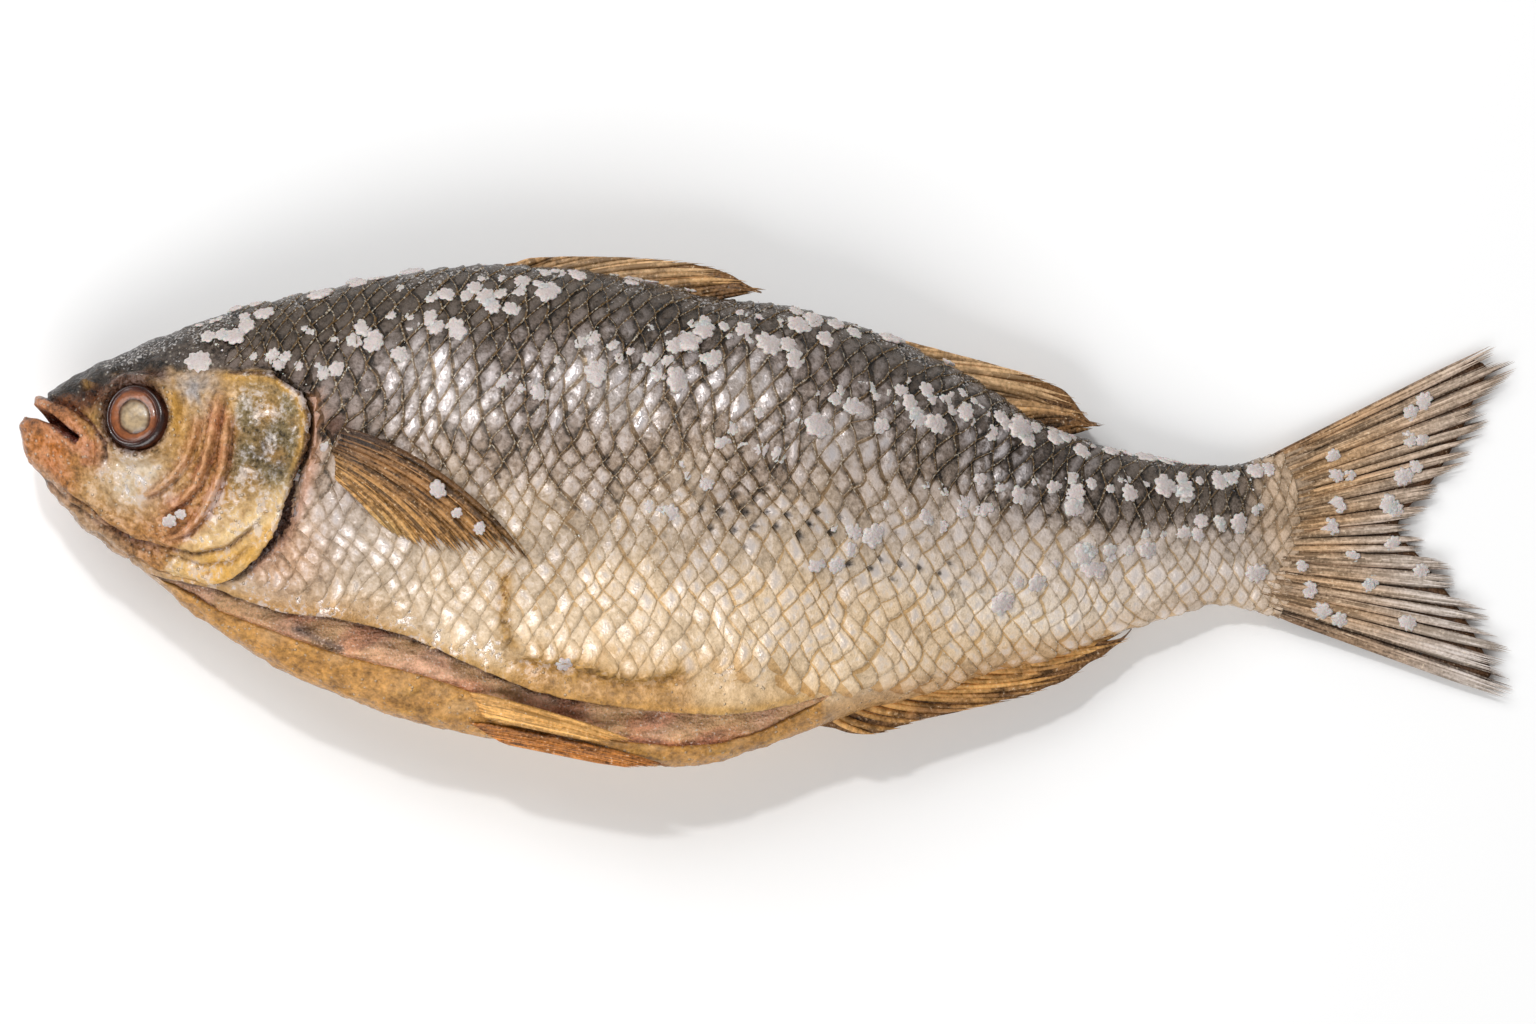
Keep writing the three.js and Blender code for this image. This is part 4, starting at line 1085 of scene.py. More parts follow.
def make_strands(name, centres, ups, widths, thickness, paint, seed, material):
    """Fin rays as tapered strands. centres is strands by stations by 3; each section is a flat five-sided
    ring whose width and thickness shrink to nothing at both ends."""
    strands, stations, _ = centres.shape
    draw = np.random.default_rng(seed)
    sideways = np.cross(ups, np.gradient(centres, axis=1))
    sideways /= np.maximum(np.linalg.norm(sideways, axis=-1, keepdims=True), 1e-9)
    turn = np.pi / 2 + np.arange(STRAND_SIDES) * 2 * np.pi / STRAND_SIDES
    ring = sideways[:, :, None] * (np.cos(turn)[:, None] * widths[:, :, None, None])
    ring = ring + ups[:, :, None] * (np.sin(turn)[:, None] * thickness[:, :, None, None])
    spots = centres[:, :, None] + ring
    spots[..., 2] = np.maximum(spots[..., 2], LOWEST_FIN)
    faces = repeated(grid_faces(stations, STRAND_SIDES, round_columns=True), strands, stations * STRAND_SIDES)
    along = np.broadcast_to(np.linspace(0, 1, stations)[None, :, None], spots.shape[:3])
    tint = np.broadcast_to(draw.uniform(0, 1, (strands, 1, 1)), spots.shape[:3])
    paint = np.broadcast_to(paint[:, :, None], spots.shape)
    piece = make_piece(name, spots, faces, material, paint, along=along, tint=tint)
    fix_normals(piece)
    return piece


def fix_normals(piece):
    """Turns every face of a closed piece outwards."""
    shape = bmesh.new()
    shape.from_mesh(piece.data)
    bmesh.ops.recalc_face_normals(shape, faces=shape.faces)
    shape.to_mesh(piece.data)
    shape.free()


def taper(stations, root=0.12, tip=0.55):
    """A ray's width along it: it opens out of the root and narrows from the share tip to a point."""
    t = np.linspace(0, 1, stations)
    return smooth(-0.01, root, t) * (1 - smooth(tip, 1.02, t) ** 1.5)


def bent_lines(start, control, end, stations):
    """Smooth arcs from start to end, each pulled towards its control point."""
    t = np.linspace(0, 1, stations)[None, :, None]
    start, control, end = (np.asarray(p)[:, None] for p in (start, control, end))
    return start * (1 - t) ** 2 + 2 * control * t * (1 - t) + end * t * t


# the tail's ragged edge in side view, from its top at 0 to its bottom at 1
TAIL_TIP_X = [
    (0, 144.5), (0.05, 149.8), (0.12, 147.4), (0.22, 144.2), (0.36, 138), (0.5, 129.8), (0.62, 135),
    (0.76, 142.6), (0.88, 148.5), (0.95, 150.6), (1, 146),
]
TAIL_TIP_Y = [
    (0, 34.2), (0.05, 32), (0.12, 26.4), (0.22, 18.6), (0.36, 8.2), (0.5, -2), (0.62, -9), (0.76, -18.5),
    (0.88, -28), (0.95, -34.2), (1, -36.6),
]


def tail_spot(u, v):
    """Side-view place on the tail at the share u from its root to its edge and v from its top to its
    bottom."""
    x = mix(99.0, curve(TAIL_TIP_X, v), u)
    y = mix(mix(10.8, -19.4, v), curve(TAIL_TIP_Y, v), u)
    return x, y


def tail_height(x, y, face):
    """Height of the tail's upper (face 1) or lower (face -1) layer: it leaves the trunk's skin and thins to
    the rays' own thickness."""
    held = np.minimum(x, TAIL_ROOT_X)
    trunk = np.abs(skin(held, angle_at(held, y))[..., 2] - curve(MIDDLE, held)) + 0.1
    return curve(MIDDLE, x) + face * mix(trunk, 0.75, smooth(106, 124, x))


TAIL_BUNDLES = 21
TAIL_WEB_SUNK = 0.35


def make_tail(strands, seed):
    """Rays fan out from the tail root to the forked edge. They gather into bundles, each a rounded ridge,
    whose ragged ends make the tail's teeth. They lie in two layers, one for each face, over a thin skin."""
    draw = np.random.default_rng(seed)
    stations = 12
    t = np.linspace(0, 1, stations)[None, :]
    layers, paints, gauges = [], [], []
    for face in (1, -1):
        v = (np.arange(strands) + 0.5 + draw.uniform(-0.3, 0.3, strands)) / strands
        bundle = v * TAIL_BUNDLES + 0.3 * np.sin(v * 23)
        phase = bundle % 1 - 0.5
        tooth = np.abs((bundle / 2.3 + 0.5) % 1 - 0.5) * 2
        reach = 1.04 - 0.11 * tooth ** 1.6 * smooth(1, 0.97, v) - 0.045 * draw.uniform(0, 1, strands) ** 2
        start = np.stack(tail_spot(draw.uniform(-0.02, 0.1, strands), v), axis=-1)
        end = np.stack(tail_spot(reach, v), axis=-1) + np.stack([0 * v, phase * 1.1], axis=-1)
        flat = bent_lines(start, mix(start, end, 0.5), end, stations)
        arch = 0.4 * (1 - (2 * phase[:, None]) ** 2) * smooth(0, 0.3, t)
        z = tail_height(flat[..., 0], flat[..., 1], face)
        z = z + face * (arch + draw.uniform(-0.12, 0.12, (strands, 1)))
        layers.append(np.concatenate([flat, z[..., None]], axis=-1))
        warm = 0.5 + 0.5 * np.sin(bundle[:, None] * 2.1 + t * 2)
        low_lobe = smooth(0.35, 0.8, v)[:, None]
        edges = bell(v, 0.04)[:, None] * smooth(0.95, 0.2, t) + bell(v - 1, 0.05)[:, None] * smooth(1, 0.3, t)
        paints.append(layered(np.broadcast_to(TAIL_BROWN, layers[-1].shape), [
            (FIN_GOLD, warm * 0.6 * smooth(1.1, 0.5, t)),
            (TAIL_GREY, (0.3 + 0.7 * smooth(0.3, 0.9, t)) * mix(0.6, 1, low_lobe)),
            # painted shade in the gaps between the bundles
            (FIN_DARK, smooth(0.3, 0.5, np.abs(phase))[:, None] * 0.6),
            (FIN_DARK, edges * 0.6 + 0.3 * bell(t - 0.13, 0.08)),
        ]))
        gauges.append(mix(0.28, 0.42, t) * draw.uniform(0.75, 1.25, (strands, 1)))
    centres, paint, gauge = np.concatenate(layers), np.concatenate(paints), np.concatenate(gauges)
    widths = taper(stations, 0.06, 0.72)[None, :] * gauge
    thick = taper(stations, 0.06, 0.8)[None, :] * mix(0.5, 0.3, t) * gauge / 0.45
    ups, material = np.broadcast_to(UP, centres.shape), fin_material()
    make_strands("tail_rays", centres, ups, widths, thick, paint, seed, material)
    u, v = np.meshgrid(np.linspace(0.0, 0.9, 16), np.linspace(0.015, 0.985, 50))
    x, y = tail_spot(u, v)
    heights = (np.maximum(tail_height(x, y, face) - face * TAIL_WEB_SUNK, LOWEST_FIN) for face in (1, -1))
    top, low = (np.stack([x, y, z], axis=-1) for z in heights)
    make_web("tail_web", top, low, material, FIN_DARK)


def make_web(name, top, low, material, paint):
    """The membrane that joins the rays: a thin closed skin between two grids of points."""
    spots = np.stack([top, low], axis=0)
    _, rows, columns, _ = spots.shape
    layer = rows * columns
    rim = np.r_[
        np.arange(columns), np.arange(1, rows) * columns + columns - 1,
        (rows - 1) * columns + np.arange(columns - 2, -1, -1), np.arange(rows - 2, 0, -1) * columns,
    ]
    next_rim = np.roll(rim, -1)
    walls = np.stack([next_rim, rim, rim + layer, next_rim + layer], axis=-1)
    top_faces, low_faces = grid_faces(rows, columns), grid_faces(rows, columns, start=layer)[:, ::-1]
    faces = np.concatenate([top_faces, low_faces, walls])
    along = np.broadcast_to(np.linspace(0, 1, columns), spots.shape[:3]) * 0.3
    tint = np.full(spots.shape[:3], 0.35)
    paint = np.broadcast_to(paint, spots.shape)
    piece = make_piece(name, spots, faces, material, paint, along=along, tint=tint)
    fix_normals(piece)
    return piece


MEDIAN_FINS = {
    # name: (first and last root x, whether on the back, outer edge, tips of the first and last ray)
    "first_back_fin": (
        (-55, -13), True,
        [(-54, 50.4), (-43, 51.6), (-27, 51.5), (-14, 50.5), (-7, 48.4), (1.6, 44)],
        ((-6.6, 48.6), (1.6, 44.2)),
    ),
    "second_back_fin": (
        (19, 58), True,
        [(21, 36.9), (30, 33.9), (40, 31.6), (48, 29.4), (57, 26.6), (63.5, 22), (69, 16.9)],
        ((63.6, 22.2), (69, 16.8)),
    ),
    "vent_fin": (
        (9, 62), False,
        [(10, -42.8), (17, -44), (23, -43.9), (32, -41), (45, -38.2), (55, -35.6), (64, -31.2), (76.2, -23)],
        ((63.5, -31.6), (76, -23.4)),
    ),
}


def make_median_fin(name, strands, seed, material):
    """A folded fin in the middle plane: each ray leaves the ridge a little behind the one before it, bends
    over and runs back along the body. The front rays end along the outer edge and the others down the
    ragged rear edge, between the first and the last tip."""
    (first, last), on_back, edge, (top_tip, low_tip) = MEDIAN_FINS[name]
    sign, body_edge = (1, BACK) if on_back else (-1, KEEL)
    draw = np.random.default_rng(seed)
    stations, front_share = 13, 0.4
    v = (np.arange(strands) + 0.5) / strands
    root_x = mix(first, last, v) + draw.uniform(-0.6, 0.6, strands)
    down = np.clip((v - front_share) / (1 - front_share), 0, 1)
    along_edge = mix(first + 9, top_tip[0], np.clip(v / front_share, 0, 1))
    in_front = v < front_share
    tip_x = np.where(in_front, along_edge, mix(top_tip[0], low_tip[0], down))
    tip_y = np.where(in_front, curve(edge, along_edge), mix(top_tip[1], low_tip[1], down))
    notch = np.abs((down * 2.6 + 0.5) % 1 - 0.5) * 2
    tip_x = tip_x - (5.0 * notch ** 1.3 + 2.5 * draw.uniform(0, 1, strands) ** 2) * (v > front_share)
    depth = mix(0.1, 0.85, v) + draw.uniform(-0.12, 0.12, strands)
    start = np.stack([root_x, curve(body_edge, root_x) - sign * 2.2], axis=-1)
    end = np.stack([tip_x, tip_y], axis=-1)
    control_x = mix(root_x, tip_x, 0.45)
    control = np.stack([control_x, mix(curve(edge, control_x), curve(body_edge, control_x), depth)], axis=-1)
    flat = bent_lines(start, control, end, stations)
    flat[..., 1] = sign * np.minimum(curve(edge, flat[..., 0]) * sign, flat[..., 1] * sign)
    t = np.linspace(0, 1, stations)[None, :]
    layer = np.where(np.arange(strands) % 2, 1, -1)[:, None]
    z = curve(MIDDLE, flat[..., 0]) + layer * mix(0.9, 0.3, t) + draw.uniform(-0.3, 0.3, (strands, 1))
    centres = np.concatenate([flat, z[..., None]], axis=-1)
    widths = taper(stations, 0.08, 0.6)[None, :] * mix(0.7, 0.45, t) * draw.uniform(0.7, 1.3, (strands, 1))
    warm = 0.5 + 0.5 * ripple(centres * (0.3, 1, 1), 4, seed)
    off_root, each = smooth(0.25, 0.55, t), np.ones_like(t)
    if on_back:
        dark, rear, pale = smooth(0.9, 0.2, t), smooth(0.65, 0.85, v), bell(v - 0.35, 0.35)[:, None] * 0.85
    else:
        dark, rear, pale = off_root, 0 * v, np.maximum(1 - off_root, smooth(0.45, 0.8, v)[:, None]) * 0.8
    paint = layered(np.broadcast_to(FIN_BROWN, centres.shape), [
        (FIN_GOLD, warm * 0.8),
        (FIN_DARK, (1 - warm) * 0.6 * dark),
        (FIN_DARK, rear[:, None] * 0.6 * each),
        (FIN_PALE if on_back else FIN_GOLD, pale * each),
    ])
    ups = np.broadcast_to(UP, centres.shape)
    return make_strands(name, centres, ups, widths, widths * 0.75, paint, seed, material)


def make_median_web(name, material):
    """The membrane of a folded fin: a thin plate from inside the body out to just short of the outer edge,
    drawn out behind its last root to the last tip."""
    (first, last), on_back, edge, (_, low_tip) = MEDIAN_FINS[name]
    sign, body_edge = (1, BACK) if on_back else (-1, KEEL)
    x = np.linspace(first + 1, low_tip[0] - 3.0, 60)[:, None]
    share = np.linspace(0, 1, 6)[None, :]
    ragged = 0.5 + 0.4 * ripple(np.stack([x, x * 0], -1), 5, 71)
    behind = smooth(last - 2, low_tip[0] - 2, x)
    outer = curve(edge, x) - sign * (ragged * (0.3 + 1.6 * behind) + 0.3)
    inner = mix(curve(body_edge, x) - sign * 2.5, outer - sign * 0.3, behind)
    y = mix(inner, outer, share)
    x = np.broadcast_to(x, y.shape)
    middle, half = curve(MIDDLE, x), mix(0.9, 0.25, share)
    top = np.stack([x, y, middle + half], axis=-1)
    low = np.stack([x, y, np.maximum(middle - half, LOWEST_FIN)], axis=-1)
    return make_web(name + "_web", top, low, material, FIN_BROWN * 0.7)


def lie_on_flank(x, y, side, lift):
    """Points over side-view spots on a flank, raised by lift."""
    angle = angle_at(x, y) * side
    return raised(x, angle, lift), skin_normal(x, angle)


BREAST_TIP_X = [(0, -46.2), (0.15, -49), (0.35, -54.5), (0.55, -60.5), (0.78, -68.6), (1, -75.5)]
BREAST_TIP_Y = [(0, -9.9), (0.15, -8.8), (0.35, -8.1), (0.55, -8.2), (0.78, -6.8), (1, -3.6)]


def make_breast_fin(name, side, strands, seed, material):
    """The fin behind the gill cover: rays fan from its short root, bow upwards and end in a ragged rear
    edge. The one on the underside lies closer to the skin."""
    draw = np.random.default_rng(seed)
    stations = 15
    v = (np.arange(strands) + 0.5) / strands
    start = np.stack([mix(-88.2, -86.6, v), mix(18.2, 7.6, v)], axis=-1)
    tips = np.stack([curve(BREAST_TIP_X, v), curve(BREAST_TIP_Y, v)], axis=-1)
    reach = 1 - 0.05 * np.abs((v * 8) % 1 - 0.5) * 2 - 0.05 * draw.uniform(0, 1, strands) ** 2
    end = start + (tips - start) * reach[:, None]
    bow = mix(8.6, 0.8, v)
    control = mix(start, end, 0.5) + np.stack([bow * 0.55, bow * 0.85], axis=-1)
    flat = bent_lines(start, control, end, stations)
    t = np.linspace(0, 1, stations)[None, :]
    lift = mix(2.3, 0.9, t) + 0.25 * np.sin(v * 50)[:, None] + draw.uniform(-0.12, 0.12, (strands, 1))
    lift = mix(0.4, lift, smooth(0, 0.2, t)) * (1 if side > 0 else 0.6)
    centres, ups = lie_on_flank(flat[..., 0], flat[..., 1], side, lift)
    centres[..., 2] = np.maximum(centres[..., 2], 0.35)
    widths = taper(stations, 0.05, 0.72)[None, :] * mix(0.42, 0.62, t) * draw.uniform(0.85, 1.2, (strands, 1))
    thick = taper(stations, 0.05, 0.8)[None, :] * mix(0.8, 0.28, t)
    low = v[:, None]
    paint = layered(np.broadcast_to(FIN_BROWN * 0.74, centres.shape), [
        (FIN_DARK * 0.6, bell(t, 0.22) * 0.95 + 0.7 * bell(low, 0.08)),
        (FIN_GOLD, smooth(0.35, 1, low) * 0.6 + 0.25 * smooth(0.5, 1, t)),
        (FIN_EDGE, smooth(0.7, 1, low) * smooth(0.4, 1, t) * 0.6),
    ])
    return make_strands(name, centres, ups, widths, thick, paint, seed, material)


# name: (two ends of the root, two tips, rays, height above the skin, colour; the far fin's is darker as
# painted shade)
BELLY_FINS = {
    "belly_fin_left": ([(-60, -35.4), (-57, -40.6)], [(-26.4, -45.4), (-30, -46.4)], 24, 2.4, NEAR_FIN),
    "belly_fin_right": ([(-60, -41.6), (-54, -45.4)], [(-18.4, -50.6), (-24, -51.6)], 20, 1.2, FAR_FIN_PAINTED_SHADE),
}


def make_belly_fin(name, seed, material):
    """A small fin that lies back along the lower flap, its rays a little lifted off it."""
    roots, tips, strands, lift, colour = BELLY_FINS[name]
    (first, last), (first_tip, last_tip) = np.array(roots), np.array(tips)
    draw = np.random.default_rng(seed)
    stations = 13
    v = (np.arange(strands) + 0.5)[:, None] / strands
    start = mix(first, last, v)
    reach = 1 - 0.06 * draw.uniform(0, 1, (strands, 1)) - 0.1 * v
    end = start + (mix(first_tip, last_tip, v) - start) * reach
    control = mix(start, end, 0.5) + (0, 1.2) * (1 - v)
    x, y = np.moveaxis(bent_lines(start, control, end, stations), -1, 0)
    t = np.linspace(0, 1, stations)[None, :]
    angle = angle_at(x, np.clip(y, curve(KEEL, x) + 0.8, curve(LOWER_EDGE, x)))
    height = skin(x, angle, FLAP_DROP * openness(x))[..., 2]
    z = height + mix(0.4, lift, smooth(0, 0.3, t)) * mix(1, 0.8, t) + draw.uniform(-0.1, 0.1, (strands, 1))
    centres = np.stack([x, y, z], axis=-1)
    ups = np.broadcast_to((0.0, -0.35, 0.94), centres.shape)
    widths = taper(stations, 0.05, 0.7)[None, :] * mix(0.46, 0.4, t) * draw.uniform(0.8, 1.25, (strands, 1))
    paint = dab(np.broadcast_to(colour, centres.shape), FIN_DARK, 0.3 * draw.uniform(0, 1, (strands, 1)) ** 2)
    return make_strands(name, centres, ups, widths, widths * 0.8, paint, seed, material)


# ---- Eyes ----

EYE_PROFILE = [  # the share of the radius, and the height there
    (0, 1.4), (0.12, 1.38), (0.25, 1.3), (0.38, 1.13), (0.46, 0.95), (0.49, 0.86), (0.53, 0.84), (0.6, 0.82),
    (0.7, 0.7), (0.76, 0.5), (0.8, 0.7), (0.86, 0.9), (0.92, 0.7), (0.97, 0.1), (1.0, -0.9),
]


def make_eye(name, node, side, material):
    """A dome turned about the eye's centre: a cloudy lens, the iris, a groove and a swollen dark rim. The
    iris is wider on one side, because its share of the radius is moved a little by a cosine of the turn."""
    share = np.linspace(0, 1, 56)[:, None]
    turn = np.linspace(0, 2 * np.pi, 96, endpoint=False)[None, :]
    reach = EYE_REACH * share * (1 + 0.02 * np.cos(turn * 3 + 0.5) * share)
    x = EYE[0] + reach * np.cos(turn)
    y = EYE[1] + 1.07 * reach * np.sin(turn)
    radius = np.clip(share + 0.1 * bell(share - 0.72, 0.2) * np.cos(turn + 0.6), 0, 1)
    lift = curve(EYE_PROFILE, radius) * (1 + 0.15 * np.sin(turn * 2 + 1) * share) - 0.35
    spots, _ = lie_on_flank(x, y, side, lift)
    piece = make_piece(
        name, spots, grid_faces(*x.shape, round_columns=True), material, flip=side > 0, radius=radius
    )
    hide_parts(node)
    return piece


# ---- Salt ----

# x, y, height above the skin and radius of single flakes on the breast fin, the cheek, the flap and the belly
STRAY_FLAKES = [
    (-65.8, 5.1, 2.7, 1.9), (-57.5, -2.5, 2.4, 1.4), (-62, 0.5, 2.6, 1.2), (-119, -0.9, 1.5, 1.6),
    (-116.8, 0.4, 1.5, 1.2), (-40.8, -29.6, 0.5, 1.7),
]
STEPS = (0.8566748838, 0.7338918567, 0.6287067210, 0.5385972572)  # powers of 1 / g, where g ** 5 = g + 1
COARSE_PLACES = 400  # places tried for the coarse flakes
FIRST_FINE = 3001  # the number of the first place tried for fine salt
COARSE_RADII = (1.9, 3.1)
SMALL_RADII = (0.95, 2.0)
TAIL_RADII = (1.35, 2.2)
FINE_RADII = (0.14, 0.36)
FLAKE_CORNERS = 24
FLAKE_RINGS = [(0, 1.0), (0.84, 0.96), (1.0, 0.3), (0, -1.4)]  # shares of the reach and of the height


def scatter(count, first=1):
    """Four numbers from 0 to 1 for each grain, each moved on by its own irrational step."""
    k = np.arange(first, first + count)[:, None]
    return (0.5 + k * np.array(STEPS)) % 1


def salt_spots(count, first, thickness):
    """Where grains lie on the shown flank: x, angle and a number from 0 to 1 for the size of each."""
    a, b, c, d = scatter(count, first).T
    x, angle = mix(-126, 100, a), mix(-0.12, 2.1, b)
    y = skin(x, angle)[..., 1]
    kept = (c <= saltiness(x, depth_share(x, y)) * thickness) & (y >= curve(UPPER_EDGE, x) + 4)
    return x[kept], angle[kept], d[kept]


def flank_flakes(small_places):
    """Places, outward directions and radii of the flakes on the flank. About every third flake has a
    smaller one beside it."""
    coarse, small = salt_spots(COARSE_PLACES, 1, 0.5), salt_spots(small_places, COARSE_PLACES + 1, 0.4)
    x, angle, size = (np.concatenate(parts) for parts in zip(coarse, small))
    radii = np.r_[mix(*COARSE_RADII, coarse[2] ** 2), mix(*SMALL_RADII, small[2] ** 2)]
    turn = 60 * size
    pair = np.sin(5 * turn) > 0.5
    away = 1.5 * radii[pair]
    x = np.r_[x, x[pair] + away * np.cos(turn[pair])]
    angle = np.r_[angle, angle[pair] + away * np.sin(turn[pair]) / 30]
    spots, _ = trunk_surface(x, angle, 0.3, on_nape=True)
    return spots, skin_normal(x, angle), np.r_[radii, radii[pair] * 0.85]


def tail_flakes():
    """Places, outward directions and radii of the flakes on the tail."""
    a, b, _, size = np.r_[scatter(14), scatter(9, 200)].T
    x, y = tail_spot(mix(0.16, 0.87, a), mix(0.06, 0.94, b))
    spots = np.stack([x, y, tail_height(x, y, 1) + 0.4], axis=-1)
    return spots, np.broadcast_to(UP, spots.shape), mix(*TAIL_RADII, size)


def stray_flakes():
    """Places, outward directions and radii of the flakes that lie apart."""
    x, y, lift, radii = np.array(STRAY_FLAKES).T
    return *lie_on_flank(x, y, 1, lift), radii


def make_flakes(name, spots, normals, radii, seed, material):
    """Salt flakes: closed flat plates with scalloped outlines, tilted a little and sunk into the skin. The
    outline is an arch for each lobe, so neighbouring lobes meet in a notch."""
    draw = np.random.default_rng(seed)
    count = len(spots)
    rings, heights = np.array(FLAKE_RINGS).T[:, None, :, None]
    turn = np.linspace(0, 2 * np.pi, FLAKE_CORNERS, endpoint=False)[None, None, :]
    lobes, phases = draw.choice([6, 8], (count, 1, 1)), draw.uniform(0, 6.28, (2, count, 1, 1))
    arches = np.abs(np.sin(lobes * turn / 2)) ** 0.5
    outline = 0.78 + 0.22 * arches + 0.09 * np.cos(2 * turn + phases[0]) + 0.05 * np.cos(3 * turn + phases[1])
    outline = outline + draw.uniform(-0.05, 0.05, (count, 1, FLAKE_CORNERS))
    reach = rings * outline * radii[:, None, None]
    bumps = 1 + rings * 0.16 * draw.normal(size=(count, rings.size, FLAKE_CORNERS))
    height = heights * bumps * radii[:, None, None] * draw.uniform(0.16, 0.27, (count, 1, 1))
    tilt = normals + 0.1 * draw.normal(size=normals.shape)
    tilt /= np.linalg.norm(tilt, axis=-1, keepdims=True)
    first = np.cross(tilt, draw.normal(size=normals.shape))
    first /= np.linalg.norm(first, axis=-1, keepdims=True)
    second = np.cross(tilt, first)
    place = spots[:, None, None]
    for way, amount in ((first, reach * np.cos(turn)), (second, reach * np.sin(turn)), (tilt, height)):
        place = place + way[:, None, None] * amount[..., None]
    quads = grid_faces(rings.size, FLAKE_CORNERS, round_columns=True)
    faces = repeated(quads, count, rings.size * FLAKE_CORNERS)
    edge = np.broadcast_to(rings ** 3, place.shape[:3])
    piece = make_piece(name, place, faces, material, flip=True, edge=edge)
    fix_normals(piece)
    return piece


def make_crystals(name, spots, radii, seed, material):
    """Fine salt: small eight-sided crystals, each squashed and turned by a seeded draw."""
    draw = np.random.default_rng(seed)
    count = len(spots)
    corners = np.array([(1, 0, 0), (0, 1, 0), (-1, 0, 0), (0, -1, 0), (0, 0, 1), (0, 0, -1)], float)
    corners = corners[None] * draw.uniform(0.6, 1.3, (count, 6, 1))
    axes, _ = np.linalg.qr(draw.normal(size=(count, 3, 3)))
    place = spots[:, None] + np.einsum("nij,nkj->nki", axes, corners) * radii[:, None, None]
    upper, lower = [(0, 1, 4), (1, 2, 4), (2, 3, 4), (3, 0, 4)], [(1, 0, 5), (2, 1, 5), (3, 2, 5), (0, 3, 5)]
    triangles = np.array(upper + lower)
    piece = make_piece(
        name, place, repeated(triangles, count, 6), material, merge=False, edge=np.ones((count, 6))
    )
    fix_normals(piece)
    piece.data.shade_flat()
    return piece


# ---- Settings and operators ----

# rows and columns of points
HEAD_GRID = (200, 400)
TRUNK_GRID = (250, 230)
MEDIAN_RAYS = 46


class SaltedFishSettings(bpy.types.PropertyGroup):
    scale_pitch: FloatProperty(
        name="Scale pitch", description="Distance between scales along the flank", unit="LENGTH",
        default=0.0039,
    )
    scale_row: FloatProperty(
        name="Scale row height", description="Distance between rows of scales", default=0.0039, unit="LENGTH"
    )
    tail_rays: IntProperty(name="Tail rays", description="Rays in each layer of the tail", default=144)
    fin_rays: IntProperty(name="Fin rays", description="Rays in each breast fin", default=44)
    flakes: IntProperty(name="Salt flakes", description="Places tried for small flakes", default=800)
    fine_salt: IntProperty(name="Fine salt", description="Places tried for fine crystals", default=5000)
    seed: IntProperty(name="Seed", description="Start of every random draw", default=7)
    floor_colour: FloatVectorProperty(
        name="Floor colour", description="Colour of the plain floor", subtype="COLOR",
        default=(0.99, 0.99, 0.99),
    )


def settings():
    return bpy.context.scene.salted_fish


class SALTEDFISH_OT_body(bpy.types.Operator):
    """Makes the head, the trunk and the flesh in the belly cut"""

    bl_idname = "salted_fish.body"
    bl_label = "Head, trunk and belly"

    def execute(self, context):
        make_head(*HEAD_GRID)
        trunk, upper_rim, lower_rim = make_trunk(*TRUNK_GRID)
        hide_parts("fish")
        make_flesh(upper_rim, lower_rim)
        return {"FINISHED"}


class SALTEDFISH_OT_scales(bpy.types.Operator):
    """Makes the overlapping scales of both flanks"""

    bl_idname = "salted_fish.scales"
    bl_label = "Scales"

    def execute(self, context):
        pitch, row_height = settings().scale_pitch / MM, settings().scale_row / MM
        make_scales("scales_left", 1, pitch, row_height, settings().seed)
        make_scales("scales_right", -1, pitch, row_height, settings().seed + 1)
        return {"FINISHED"}


class SALTEDFISH_OT_fins(bpy.types.Operator):
    """Makes the tail and all the fins"""

    bl_idname = "salted_fish.fins"
    bl_label = "Tail and fins"

    def execute(self, context):
        seed = settings().seed
        make_tail(settings().tail_rays, seed + 1)
        material = bpy.data.materials["fin_rays"]
        for step, name in enumerate(MEDIAN_FINS):
            make_median_fin(name, MEDIAN_RAYS, seed + 10 + step, material)
            make_median_web(name, material)
        make_breast_fin("breast_fin_left", 1, settings().fin_rays, seed + 20, material)
        make_breast_fin("breast_fin_right", -1, settings().fin_rays, seed + 21, material)
        for step, name in enumerate(BELLY_FINS):
            make_belly_fin(name, seed + 22 + step, material)
        return {"FINISHED"}


class SALTEDFISH_OT_eyes(bpy.types.Operator):
    """Makes both eyes"""

    bl_idname = "salted_fish.eyes"
    bl_label = "Eyes"

    def execute(self, context):
        material = eye_material()
        make_eye("left_eye_dome", "eye_left", 1, material)
        make_eye("right_eye_dome", "eye_right", -1, material)
        return {"FINISHED"}


class SALTEDFISH_OT_salt(bpy.types.Operator):
    """Scatters the coarse and the fine salt"""

    bl_idname = "salted_fish.salt"
    bl_label = "Salt"

    def execute(self, context):
        seed = settings().seed
        groups = flank_flakes(settings().flakes), tail_flakes(), stray_flakes()
        spots, normals, radii = (np.concatenate(parts) for parts in zip(*groups))
        make_flakes("salt_flakes", spots, normals, radii, seed + 30, salt_material("coarse_salt", 1.0))
        x, angle, size = salt_spots(settings().fine_salt, FIRST_FINE, 0.5)
        spots, _ = trunk_surface(x, angle, 0.2, on_nape=True)
        radii = mix(*FINE_RADII, size ** 2)
        make_crystals("fine_salt", spots, radii, seed + 31, salt_material("fine_salt", 1.1))
        return {"FINISHED"}


# name, place, size and strength in watts of each square lamp
LAMPS = [
    ("key", (-0.7, 1.0, 1.25), 0.9, 12.0), ("fill", (-0.5, -0.9, 1.2), 1.0, 11.5),
    ("sparkle", (-0.3, 0.75, 1.5), 0.09, 7.0),
]
SKY_STRENGTH = 0.28
FRAME_CENTRE = (-0.0001, 0.0005)
FRAMED_WIDTH = 0.3078
MID_HEIGHT = 0.022
CAMERA_DISTANCE = 4.0
SENSOR_WIDTH = 36
FLOOR_SIZE = 8
FLOOR_HEIGHT = -0.0003


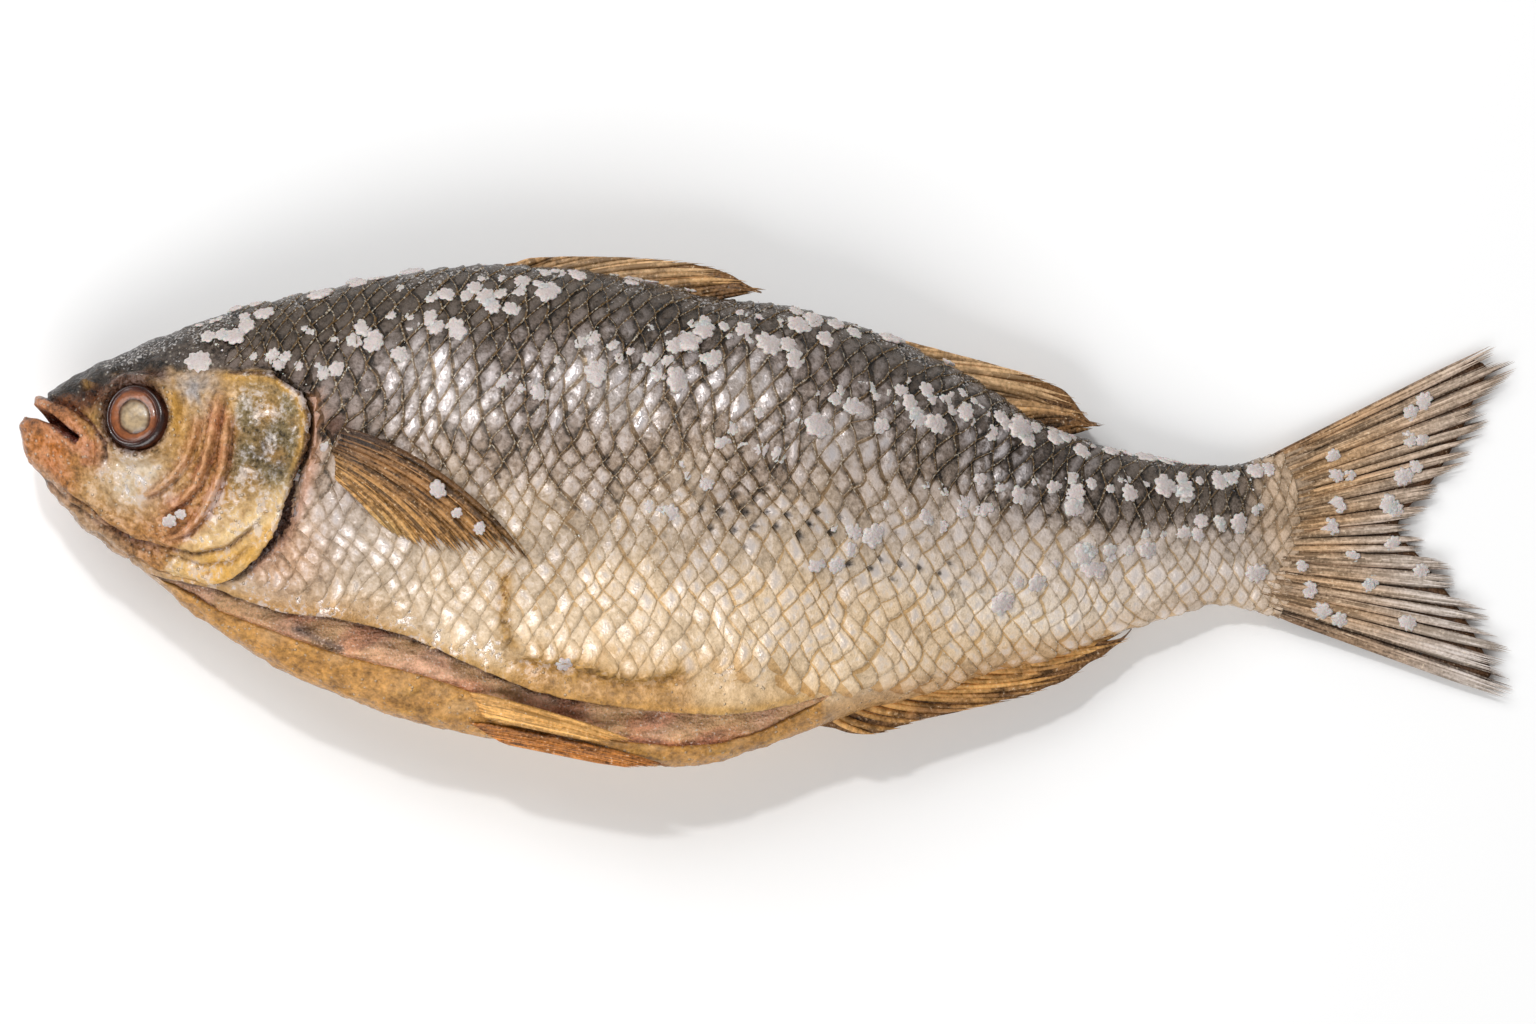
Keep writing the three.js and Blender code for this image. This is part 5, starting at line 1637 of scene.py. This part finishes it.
class SALTEDFISH_OT_stage(bpy.types.Operator):
    """Lays the plain floor and sets the lights and the camera, which looks straight down"""

    bl_idname = "salted_fish.stage"
    bl_label = "Floor, lights and camera"

    def execute(self, context):
        scene = context.scene
        bpy.ops.mesh.primitive_plane_add(size=FLOOR_SIZE, location=(0, 0, FLOOR_HEIGHT))
        floor = context.object
        floor.name = "floor"
        colour = (*settings().floor_colour, 1)
        matt = Finish("plain_floor", Roughness=0.9, Specular_IOR_Level=0.1, Base_Color=colour)
        floor.data.materials.append(matt.material)
        for name, place, size, watts in LAMPS:
            add_light(name, place, size, watts)
        world = bpy.data.worlds.new("soft_white")
        world.use_nodes = True
        sky = world.node_tree.nodes["Background"].inputs
        sky["Color"].default_value = (1, 1, 1, 1)
        sky["Strength"].default_value = SKY_STRENGTH
        scene.world = world
        scene.view_settings.view_transform = "Standard"
        camera = bpy.data.objects.new("camera", bpy.data.cameras.new("camera"))
        scene.collection.objects.link(camera)
        camera.location = (*FRAME_CENTRE, MID_HEIGHT + CAMERA_DISTANCE)
        camera.data.sensor_width = SENSOR_WIDTH
        camera.data.lens = SENSOR_WIDTH * CAMERA_DISTANCE / FRAMED_WIDTH
        camera.data.clip_end = 5 * CAMERA_DISTANCE
        scene.camera = camera
        return {"FINISHED"}


def add_light(name, place, size, watts):
    """A square lamp that shines on the origin."""
    light = bpy.data.lights.new(name, "AREA")
    light.size = size
    light.energy = watts
    lamp = bpy.data.objects.new(name, light)
    lamp.location = place
    way = -np.array(place)
    lamp.rotation_euler = (math.atan2(math.hypot(way[0], way[1]), -way[2]), 0, math.atan2(-way[0], way[1]))
    bpy.context.scene.collection.objects.link(lamp)


class SALTEDFISH_PT_panel(bpy.types.Panel):
    """Lists the steps that build the fish"""

    bl_label = "Salted fish"
    bl_idname = "SALTEDFISH_PT_panel"
    bl_space_type = "VIEW_3D"
    bl_region_type = "UI"
    bl_category = "Salted fish"

    def draw(self, context):
        for label in SaltedFishSettings.__annotations__:
            self.layout.prop(context.scene.salted_fish, label)
        for step in OPERATORS:
            self.layout.operator(step.bl_idname)


OPERATORS = (
    SALTEDFISH_OT_body,
    SALTEDFISH_OT_scales,
    SALTEDFISH_OT_fins,
    SALTEDFISH_OT_eyes,
    SALTEDFISH_OT_salt,
    SALTEDFISH_OT_stage,
)


def register():
    for part in (SaltedFishSettings, *OPERATORS, SALTEDFISH_PT_panel):
        bpy.utils.register_class(part)
    bpy.types.Scene.salted_fish = PointerProperty(type=SaltedFishSettings)


def unregister():
    del bpy.types.Scene.salted_fish
    for part in (SALTEDFISH_PT_panel, *reversed(OPERATORS), SaltedFishSettings):
        bpy.utils.unregister_class(part)


def main():
    register()
    for step in OPERATORS:
        group, name = step.bl_idname.split(".")
        getattr(getattr(bpy.ops, group), name)()


if __name__ == "__main__":
    main()
